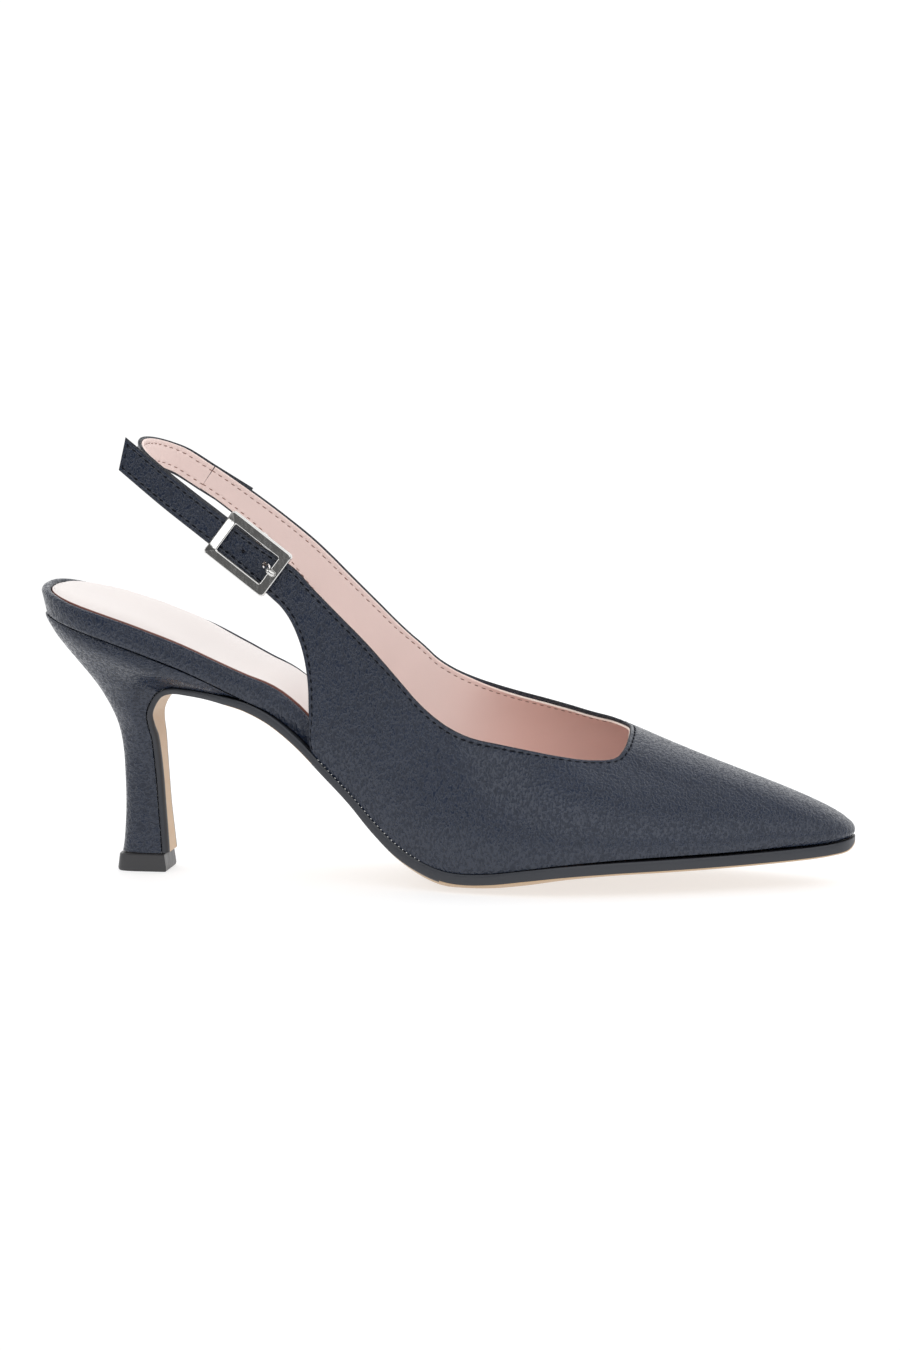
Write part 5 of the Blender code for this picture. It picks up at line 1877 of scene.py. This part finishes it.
    def build_prong(self, finish: bpy.types.Material) -> bpy.types.Object:
        """Makes the prong, a round wire that is flattened and blunt at its tip."""
        line = refine(self.prong_line, self.prong_steps)
        run = unit(np.gradient(line, axis=0))
        rise = np.stack([-run[:, 1], run[:, 0]], axis=1)
        angles = around(self.prong_sides)
        left = np.linspace(1.0, 0.0, len(line)) * (len(line) - 1) * self.tip_step
        depth = np.clip(1.0 - left / self.tip_length, 0.0, self.tip_blunt)
        rings = []
        for point, up, width in zip(line, rise, np.sqrt(1.0 - depth**2) * self.prong_radius):
            flat = point + np.outer(np.sin(angles) * width * self.prong_flat, up)
            rings.append(self.at(flat[:, 0], np.cos(angles) * width, flat[:, 1]))
        return Mesh().loft(rings).build("buckle_pin", [finish], self.prong_sharp)

    def cutters(self, wider: float) -> list[bpy.types.Object]:
        """Makes the tools that cut the prong's slot and the spare hole through the strap.

        Args:
            wider: How much further they reach on every side.

        Returns:
            The tools, which are deleted after use.
        """
        angles = around(self.hole_sides)
        circle = np.stack([np.cos(angles), np.sin(angles)], axis=1)
        reach = (self.slot_to - self.slot_from - self.slot_width) / 2.0
        slot = circle * (self.slot_width / 2.0 + wider)
        slot[:, 0] += (self.slot_to + self.slot_from) / 2.0 + np.sign(circle[:, 0].round(6)) * reach
        spare = circle * (self.hole_radius + wider) + np.array([self.hole_along, -self.rise])
        made = []
        for name, outline in (("prong_slot", slot), ("spare_hole", spare)):
            ends = [self.at(outline[:, 0], outline[:, 1], out) for out in self.cut_reach]
            made.append(Mesh().prism(ends).build(name, []))
        return made

    def build(self, palette: Palette) -> None:
        """Makes the frame, its centre bar and the prong."""
        dress(self.build_frame(palette.steel), Slot.STEEL, "buckle_frame")
        dress(self.build_bar(palette.steel), Slot.STEEL)
        dress(self.build_prong(palette.steel), Slot.STEEL, "buckle_prong")


class RimRing(NamedTuple):
    """Ring of the sock's edge: how far it is drawn in, its share of the height and of the painted
    gap shade.
    """

    inset: float
    share: float
    gap_shade: float


@dataclass
class Bed:
    """Covered board with its rounded rim, and the padded sock that lies in it."""

    back: float = 1.0
    spacing: float = 2.5
    room_share: float = 0.42
    room_least: float = 0.05
    room_from: float = 60.0
    round: float = 1.2
    round_most: float = 0.3
    round_reach: float = 0.8
    shank_round: float = 0.45
    margin: float = 1.9
    back_margin: float = 3.1
    margin_back: Ease = Ease(30.0, 0.0)
    crest_reach: float = 0.55
    undercut: float = 1.4
    undercut_back: Ease = Ease(45.0, 0.0)
    back_lift: float = 0.8
    lift_back: Ease = Ease(15.0, 0.0)
    low_angles: tuple[float, ...] = (0.0, 20.0, 40.0, 60.0, 78.0)
    high_angles: tuple[float, ...] = (14.0, 32.0, 50.0, 70.0, 90.0)
    bed_rings: tuple[Pair, ...] = ((0.72, 0.06), (0.88, 0.28), (0.97, 0.62), (1.0, 1.0))
    bands: tuple[float, ...] = (*[0.0] * 8, 0.6, 1.0, 0.8, 0.3, 0.0, 0.0)
    # painted shade at the board's lower edge and in the crevice where its bed meets the sock
    crevice_painted_shade: tuple[float, ...] = (0.8, 0.4, *[0.0] * 9, 0.5, 1.0, 1.0)
    sharp: float = 60.0
    sock_clear: float = 0.06
    # last values: share of the painted gap shade at each ring
    sock_rims: tuple[RimRing, ...] = (
        RimRing(0.0, 0.0, 1.0), RimRing(0.0, 0.5, 1.0), RimRing(0.04, 0.78, 1.0),
        RimRing(0.14, 0.93, 0.7), RimRing(0.32, 1.0, 0.0), RimRing(0.7, 1.0, 0.0),
    )
    sock_thickness: float = 1.0
    sock_fall: float = 0.75
    fall_front: Ease = Ease(42.0, 56.0)
    pad: float = 1.1
    pad_reach: float = 6.0
    pad_back: Ease = Ease(62.0, 32.0)
    dents: Pair = (0.12, 0.08)
    dent_lengths: tuple[float, ...] = (9.0, 14.0, 6.0, 21.0)
    dent_reach: float = 8.0
    divisions: int = 26

    def outline(self) -> np.ndarray:
        """Plan outline of the board."""
        return FORM.outline(self.back, FORM.length - FORM.inside_clearance, self.spacing)

    def inset(self, outline: np.ndarray, distance: np.ndarray | float) -> np.ndarray:
        """Outline drawn in by a distance.

        Args:
            outline: x and y of a closed outline.
            distance: How far it is drawn in, for all points or for each.

        Returns:
            The smaller outline, point for point.
        """
        ahead, behind = np.roll(outline, -1, axis=0), np.roll(outline, 1, axis=0)
        run = unit(unit(ahead - outline) + unit(outline - behind))
        inward = np.stack([-run[:, 1], run[:, 0]], axis=1)
        middle = outline[:, :1].mean() * np.array([1.0, 0.0])
        if np.sum(inward * (middle - outline)) < 0.0:
            inward = -inward
        breadth = np.linalg.norm(outline[::-1] - outline, axis=1)
        room = self.room_share * breadth + self.room_least
        near = outline[:, 0] < self.room_from
        return outline + inward * np.where(near, distance, np.minimum(distance, room))[:, None]

    def rim_margin(self, outline: np.ndarray) -> np.ndarray:
        """Breadth of the rim beside the sock, which is broader round the back."""
        more = self.back_margin - self.margin
        return self.margin + more * self.margin_back.at(outline[:, 0])

    def board_ring(
        self, outline: np.ndarray, drawn_in: np.ndarray, share: float, sink: float = 0.0,
    ) -> np.ndarray:
        """One ring of the board.

        Args:
            outline: Plan outline of the board.
            drawn_in: How far each point is drawn in from it.
            share: Height: 0 to 1 through the lower rounding, 1 to 2 through the upper one.
            sink: Share of the sock's recess by which the ring lies lower.

        Returns:
            Points of the ring.
        """
        flat = self.inset(outline, drawn_in)
        x = outline[:, 0]
        thick = FORM.board_thickness(x)
        soft = np.minimum(self.round, thick * self.round_most)
        low_soft = soft * np.where(x > SEAT[-1].x, self.shank_round, 1.0)
        rise = low_soft * share if share <= 1.0 else thick - soft * (2.0 - share)
        lift = self.back_lift * max(0.0, min(share - 1.0, 1.0)) * (1.0 - sink)
        rise = rise - sink * FORM.sock_recess(x) + lift * self.lift_back.at(x)
        cant = 1.0 + FORM.seat_cant(x, flat[:, 1]) / thick
        return np.column_stack([flat, FORM.board_bottom(flat[:, 0]) + rise * cant])

    def build_board(self, finish: bpy.types.Material) -> bpy.types.Object:
        """Makes the covered board: sides that lean in below, a rolled rim, the sock's bed and
        painted shade in its crevices.
        """
        outline = self.outline()
        margin = self.rim_margin(outline)
        lean = self.undercut * self.undercut_back.at(outline[:, 0])
        rings = []
        for bend in np.radians(self.low_angles):
            reach = self.round * self.round_reach * (1.0 - math.sin(bend))
            rings.append(self.board_ring(outline, reach + lean, 1.0 - math.cos(bend)))
        for bend in np.radians(self.high_angles):
            reach = self.crest_reach * margin * (1.0 - math.cos(bend))
            rings.append(self.board_ring(outline, reach, 1.0 + math.sin(bend)))
        for share, sink in self.bed_rings:
            rings.append(self.board_ring(outline, margin * share, 2.0, sink))
        # the groove mask carries the painted crevice shade
        band, groove = (np.array(values)[:, None] for values in (self.bands, self.crevice_painted_shade))
        return Mesh().loft(rings, band=band, groove=groove).build("seat_rand", [finish], self.sharp)

    def build_sock(self, finish: bpy.types.Material) -> bpy.types.Object:
        """Makes the sock: a thin soft layer with painted shade along its edge, padded under the
        heel.
        """
        board = self.outline()
        outline = self.inset(board, self.rim_margin(board) + self.sock_clear)
        rings = []
        for rim in self.sock_rims:
            flat = self.inset(outline, rim.inset)
            rings.append(np.column_stack([flat, self.bed(flat) + self.thickness(flat) * rim.share]))
        gap_shades = np.array([[rim.gap_shade] for rim in self.sock_rims])
        mesh, count = Mesh(), len(outline)
        first = mesh.add(np.array(rings), rim=gap_shades)
        mesh.skin(first, len(rings), count)
        mesh.cap(first, count)
        self.fill(mesh, rings[-1], first + (len(rings) - 1) * count)
        return mesh.build("sock_lining", [finish], self.sharp)

    def thickness(self, flat: np.ndarray) -> np.ndarray:
        """Thickness of the sock, which is thinner towards its inner rim."""
        share = np.clip(FORM.across(flat[:, 0], flat[:, 1]), 0.0, 1.0)
        return self.sock_thickness - self.sock_fall * self.fall_front.at(flat[:, 0]) * share

    def bed(self, flat: np.ndarray) -> np.ndarray:
        """Height of the sock's lower face at places in plan."""
        x, y = flat.T
        top = FORM.board_bottom(x) + FORM.board_thickness(x) - FORM.sock_recess(x)
        return top + FORM.seat_cant(x, y) + FORM.gap

    def fill(self, mesh: Mesh, ring: np.ndarray, first: int) -> None:
        """Closes the sock's top with rows across the shoe, padded at the heel and slightly dented.

        Args:
            mesh: Mesh of the sock.
            ring: Points of the top's rim.
            first: Index of the ring's first point.
        """
        count = len(ring)
        half = count // 2
        steps = np.linspace(0.0, 1.0, self.divisions + 1)[1:-1]
        shares = (1.0 - np.cos(math.pi * steps)) / 2.0
        outer, inner = ring[:half], ring[::-1][:half]
        rows = outer[:, None, :] + (inner - outer)[:, None, :] * shares[None, :, None]
        x, y = rows[..., 0], rows[..., 1]
        breadth = np.linalg.norm(inner - outer, axis=1)[:, None]
        beside = np.minimum(shares, 1.0 - shares)[None, :] * breadth
        inside = np.minimum(beside, np.maximum(x - ring[:, 0].min(), 0.0))
        swell = 1.0 - (1.0 - np.clip(inside / self.pad_reach, 0.0, 1.0)) ** 2
        rows[..., 2] += self.pad * swell * self.pad_back.at(x)
        a, b, c, d = self.dent_lengths
        dent = self.dents[0] * np.sin(x / a + y / b) + self.dents[1] * np.sin(y / c - x / d)
        rows[..., 2] += np.clip(inside / self.dent_reach, 0.0, 1.0) * dent
        start = mesh.add(rows)
        index = np.column_stack([
            first + np.arange(half),
            start + np.arange(half * len(shares)).reshape(half, -1),
            first + count - 1 - np.arange(half),
        ]).tolist()
        for here, after in zip(index, index[1:]):
            for k in range(len(here) - 1):
                mesh.face((here[k], after[k], after[k + 1], here[k + 1]))
        for row in (0, half - 1):
            mesh.face(tuple(index[row]))

    def build(self, palette: Palette) -> None:
        """Makes the board and the sock."""
        dress(self.build_board(palette.leather), Slot.NAVY, "insole_board")
        dress(self.build_sock(palette.sock), Slot.PINK, "sock")


@dataclass
class Outsole:
    """Sole with a dyed edge, a tan face and the tongue that runs down the heel's breast."""

    bevel: float = 0.7
    bevel_lean: float = 0.4
    bevel_top: float = 0.5
    sag_power: float = 4.0
    shares: int = 20
    dyed_share: float = 0.035
    tread_share: float = 0.9
    tongue_bevel: float = 2.0
    tongue_from: float = 48.0
    tongue_fade: Ease = Ease(50.0, 42.0)
    tip_round: float = 3.0
    tip_rise: float = 2.3
    tip_upright: Ease = Ease(228.0, 240.0)
    edge_rings: tuple[Pair, ...] = (
        (0.55, 0.06), (0.2, 0.24), (0.05, 0.5), (0.0, 0.75), (0.06, 0.93), (0.3, 1.0),
    )
    edge_inset: float = 0.6
    shank_on: Ease = Ease(60.0, 64.0)
    shank_off: Ease = Ease(92.0, 86.0)
    strip_from: float = 128.0
    sharp: float = 45.0

    def tan_edge(self, x: float) -> bool:
        """Whether the tan face comes up round the edge at x, at the shank and the forepart."""
        return self.shank_on.at(x) * self.shank_off.at(x) > 0.5 or x > self.strip_from

    def section(self, row: np.ndarray, up: np.ndarray, shares: np.ndarray) -> np.ndarray:
        """Points round one section, tread first, then the inner edge up and the outer edge down.

        Args:
            row: Row of the sole's table.
            up: Direction into the shoe.
            shares: Places across the tread, from -1 to 1.

        Returns:
            Points of the section.
        """
        x, z, outer, inner, thickness, sag = row
        upright = self.tip_upright.at(x)
        up = unit(up * (1.0 - upright) + UP * upright)
        depth = np.clip((x - FORM.length + self.tip_round) / self.tip_round, 0.0, 1.0)
        rise = self.tip_rise * (1.0 - math.sqrt(max(0.0, 1.0 - depth**2)))
        tongue = self.tongue_fade.at(z) * (x < self.tongue_from)
        bevel = self.bevel + (self.tongue_bevel - self.bevel) * tongue
        narrow = float(FORM.toe_share(np.array(x), FORM.length))
        edge = np.array([x, 0.0, z]) + up * rise
        drop = sag * (1.0 - np.abs(shares) ** self.sag_power)
        tread = edge - up * drop[:, None]
        tread[:, 1] = (np.where(shares > 0.0, inner, outer) - bevel) * narrow * shares
        tread[:, 2] = np.maximum(tread[:, 2], 0.0)
        right, left = [], []
        for inset, share in self.edge_rings:
            point = edge + up * (thickness - rise) * share
            lean = max(0.0, 1.0 - share / self.bevel_top) * bevel * self.bevel_lean
            drawn_in = inset * self.edge_inset + lean
            right.append((point[0], -(outer - drawn_in) * narrow, point[2]))
            left.append((point[0], (inner - drawn_in) * narrow, point[2]))
        return np.concatenate([tread, np.array(left), np.array(right)[::-1]])

    def build(self, palette: Palette) -> None:
        """Makes the sole in its two finishes."""
        rows, inward = FORM.sole_stations()
        rim = 1.0 - self.dyed_share
        tread = np.linspace(-self.tread_share, self.tread_share, self.shares - 3)
        shares = np.concatenate([[-1.0, -rim], tread, [rim, 1.0]])
        grid = np.array([self.section(row, up, shares) for row, up in zip(rows, inward)])
        count, wide = grid.shape[1], len(shares)
        edge = {0, wide - 2, wide - 1, count - 1}
        mesh = Mesh()
        first = mesh.add(grid)
        for r, row in enumerate(rows[:-1]):
            here = first + r * count
            strip = self.tan_edge(row[0])
            for k in range(count):
                after = (k + 1) % count
                tan = 1 <= k < wide - 2 or (strip and k in edge)
                corners = (here + k, here + after, here + count + after, here + count + k)
                mesh.face(corners, int(tan))
        for r in (0, len(grid) - 1):
            mesh.face(tuple(range(first + r * count, first + (r + 1) * count)))
        sole = mesh.build("sole", [palette.edge, palette.tan], self.sharp)
        dress(sole, Slot.TAN, "outsole")


@dataclass
class Heel:
    """Covered heel block and the hard top piece that it stands on."""

    shares: int = 22
    front_blend: float = 0.35
    cap_power: float = 5.5
    lip: HeelRow = HeelRow(2.1, 79.3, 25.5, 2.8)
    ease_rows: float = 1.6
    soft: float = 0.5
    soft_rings: float = 3.0
    swell: float = 0.012
    swell_at: Pair = (8.6, 0.8)
    nip: float = 0.010
    nip_at: Pair = (10.2, 0.7)
    block_sharp: float = 55.0
    cap_sharp: float = 40.0

    def loop(
        self, front: np.ndarray, front_half: float, row: HeelRow, fade: float = 1.0,
    ) -> np.ndarray:
        """Section of the heel, from the outer breast corner round the back to the inner one.

        Args:
            front: Middle of the section's breast.
            front_half: Half breadth at the breast.
            row: Back edge of the section.
            fade: Share of the plain section in its height; the rest follows the board above.

        Returns:
            Points of the section.
        """
        angle = np.linspace(0.0, math.pi / 2.0, self.shares + 1)
        depth = np.sin(angle) ** (2.0 / row.power)
        breadth = row.half * np.maximum(np.cos(angle), 0.0) ** (2.0 / row.power)
        widen = smooth_step(depth / self.front_blend)
        breadth = breadth * (front_half / row.half * (1.0 - widen) + widen)
        points = front + (np.array([row.x, 0.0, row.z]) - front) * depth[:, None]
        under = FORM.board_bottom(points[:, 0]) - FORM.gap
        points[:, 2] = np.minimum(under, under * (1.0 - fade) + points[:, 2] * fade)
        outer, inner = points.copy(), points.copy()
        outer[:, 1], inner[:, 1] = -breadth, breadth
        return np.concatenate([outer, inner[-2::-1]])

    def build_block(self, finish: bpy.types.Material) -> bpy.types.Object:
        """Makes the covered block under the board and behind the sole's tongue."""
        sole, inward = FORM.sole_stations()
        rows = refine((self.lip,) + HEEL, FORM.steps)
        kept = slice(-len(rows), None)
        loops = []
        for index, (line, up, values) in enumerate(zip(sole[kept], inward[kept], rows)):
            x, z, half, _, thickness, _ = line
            front = np.array([x, 0.0, z]) + up * (thickness + FORM.gap)
            fade = float(smooth_step(index / (FORM.steps * self.ease_rows)))
            soft = self.soft * max(0.0, 1.0 - index / self.soft_rings) ** 2
            row = HeelRow(*(values + np.array([soft, 0.0, -soft, 0.0])))
            loops.append(self.loop(front, half - soft, row, fade))
        grid = np.array(loops)
        grid[..., 1] *= 1.0 + self.wrinkle(grid[..., 2])
        return Mesh().loft(grid).build("heel_cover", [finish], self.block_sharp)

    def wrinkle(self, z: np.ndarray) -> np.ndarray:
        """Share by which the cover swells in faint folds round the foot of the heel."""
        return self.swell * bell(z, *self.swell_at) - self.nip * bell(z, *self.nip_at)

    def build_top_piece(self, finish: bpy.types.Material) -> bpy.types.Object:
        """Makes the hard cap under the heel."""
        loops = []
        for row in TOP_PIECE:
            back = HeelRow(row.back, row.z, row.half, self.cap_power)
            loops.append(self.loop(np.array([row.front, 0.0, row.z]), row.half, back))
        return Mesh().loft(loops).build("heel_top_piece", [finish], self.cap_sharp)

    def build(self, palette: Palette) -> None:
        """Makes the heel and its top piece."""
        dress(self.build_block(palette.heel_leather), Slot.NAVY, "heel")
        dress(self.build_top_piece(palette.plastic), Slot.PLASTIC, "top_piece")


class SoftBox(NamedTuple):
    """Square light: place, aim and size in metres, power in watts and whether it is mirrored."""

    name: str
    place: Point
    aim: Point
    size: Pair
    power: float
    mirrored: bool


@dataclass
class Studio:
    """Floor, soft light and the camera at the photograph's angle; sizes in millimetres."""

    target: Point = (1.9, -0.6, 61.6)
    eye: Point = (154.0, -1082.9, 186.1)
    lens: float = 96.4
    sensor: float = 36.0
    floor_radius: float = 600.0
    floor_back: float = 130.0
    floor_sides: int = 96
    floor_colour: Colour = (0.39, 0.39, 0.395)
    floor_roughness: float = 0.7
    floor_glow: float = 0.62
    white: Colour = (1.0, 1.0, 1.0)
    depth_glow: Ramp = Ramp(-0.42, 0.32, 0.14, 1.2)
    height_glow: Ramp = Ramp(0.55, 0.92, 1.0, 0.6)
    seen_glow: float = 1.05
    lights: tuple[SoftBox, ...] = (
        SoftBox("top_fill", (0.0, 0.1, 1.5), (0.0, 0.0, 0.0), (3.6, 3.6), 34.0, False),
        SoftBox("front_fill", (0.65, -1.45, 1.1), (0.0, 0.0, 0.05), (3.0, 1.8), 20.0, True),
        SoftBox("left_card", (-0.98, -0.73, 0.61), (-0.06, -0.03, 0.12), (0.6, 0.6), 2.2, True),
    )

    def build_floor(self) -> None:
        """Makes the plain pale floor, a table that is faintly lit from below."""
        body = bmesh.new()
        radius = self.floor_radius * MM
        bmesh.ops.create_circle(body, cap_ends=True, segments=self.floor_sides, radius=radius)
        bmesh.ops.translate(body, verts=body.verts[:], vec=(0.0, self.floor_back * MM, 0.0))
        mesh = bpy.data.meshes.new("studio_floor")
        body.to_mesh(mesh)
        body.free()
        mesh.materials.append(Shader("pale_floor").finish(
            base_color=self.floor_colour, roughness=self.floor_roughness,
            emission_color=self.white, emission_strength=self.floor_glow,
        ))
        floor = place_in_scene("studio_floor", mesh)

    def aim(self, piece: bpy.types.Object, place: Vector, target: Vector) -> None:
        """Puts a light or the camera at a place and turns it to a target."""
        piece.location = place
        piece.rotation_euler = (target - place).to_track_quat("-Z", "Y").to_euler()

    def add_light(self, box: SoftBox) -> None:
        """Adds a soft box."""
        data = bpy.data.lights.new(box.name, "AREA")
        data.shape = "RECTANGLE"
        data.size, data.size_y = box.size
        data.energy = box.power
        light = place_in_scene(box.name, data)
        self.aim(light, Vector(box.place), Vector(box.aim))
        light.visible_camera = False
        light.visible_glossy = box.mirrored

    def build_world(self) -> None:
        """Makes the surround: white to the camera, as a light bright behind, dim in front."""
        world = bpy.data.worlds.new("studio")
        world.use_nodes = True
        nodes = Nodes(world.node_tree)
        towards = nodes.node("ShaderNodeTexCoord").outputs["Generated"]
        parts = nodes.node("ShaderNodeSeparateXYZ", {"Vector": towards}).outputs
        depth = nodes.remap(parts["Y"], self.depth_glow)
        above = nodes.remap(parts["Z"], self.height_glow)
        seen = nodes.node("ShaderNodeLightPath").outputs["Is Camera Ray"]
        glow = nodes.math("MULTIPLY", depth, above)
        strength = nodes.node("ShaderNodeMix", {0: seen, 2: glow, 3: self.seen_glow}).outputs[0]
        back = world.node_tree.nodes["Background"].inputs
        nodes.feed(back["Strength"], strength)
        nodes.feed(back["Color"], opaque(self.white))
        bpy.context.scene.world = world

    def build_camera(self) -> None:
        """Makes the camera at the photograph's angle."""
        data = bpy.data.cameras.new("camera")
        data.lens = self.lens
        data.sensor_width = self.sensor
        camera = place_in_scene("camera", data)
        self.aim(camera, Vector(self.eye) * MM, Vector(self.target) * MM)
        bpy.context.scene.camera = camera

    def build(self) -> None:
        """Makes the floor, the surround, the lights and the camera."""
        self.build_floor()
        self.build_world()
        for box in self.lights:
            self.add_light(box)
        self.build_camera()
        bpy.context.scene.view_settings.view_transform = "Standard"


def main() -> None:
    """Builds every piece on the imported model, then the studio."""
    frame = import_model()
    logging.basicConfig(level=logging.INFO, format="%(name)s: %(message)s")
    LOG.info("packed model: %d nodes", len(frame["nodes"]))
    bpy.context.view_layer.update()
    palette = Palette.make()
    buckle = Buckle()
    slits, wide_slits = buckle.cutters(0.0), buckle.cutters(LINING_CLEAR)
    Upper().build(palette, slits, wide_slits)
    for cutter in slits + wide_slits:
        bpy.data.objects.remove(cutter)
    SlingStrap().build(palette)
    buckle.build(palette)
    Bed().build(palette)
    Outsole().build(palette)
    Heel().build(palette)
    Studio().build()


if __name__ == "__main__":
    main()
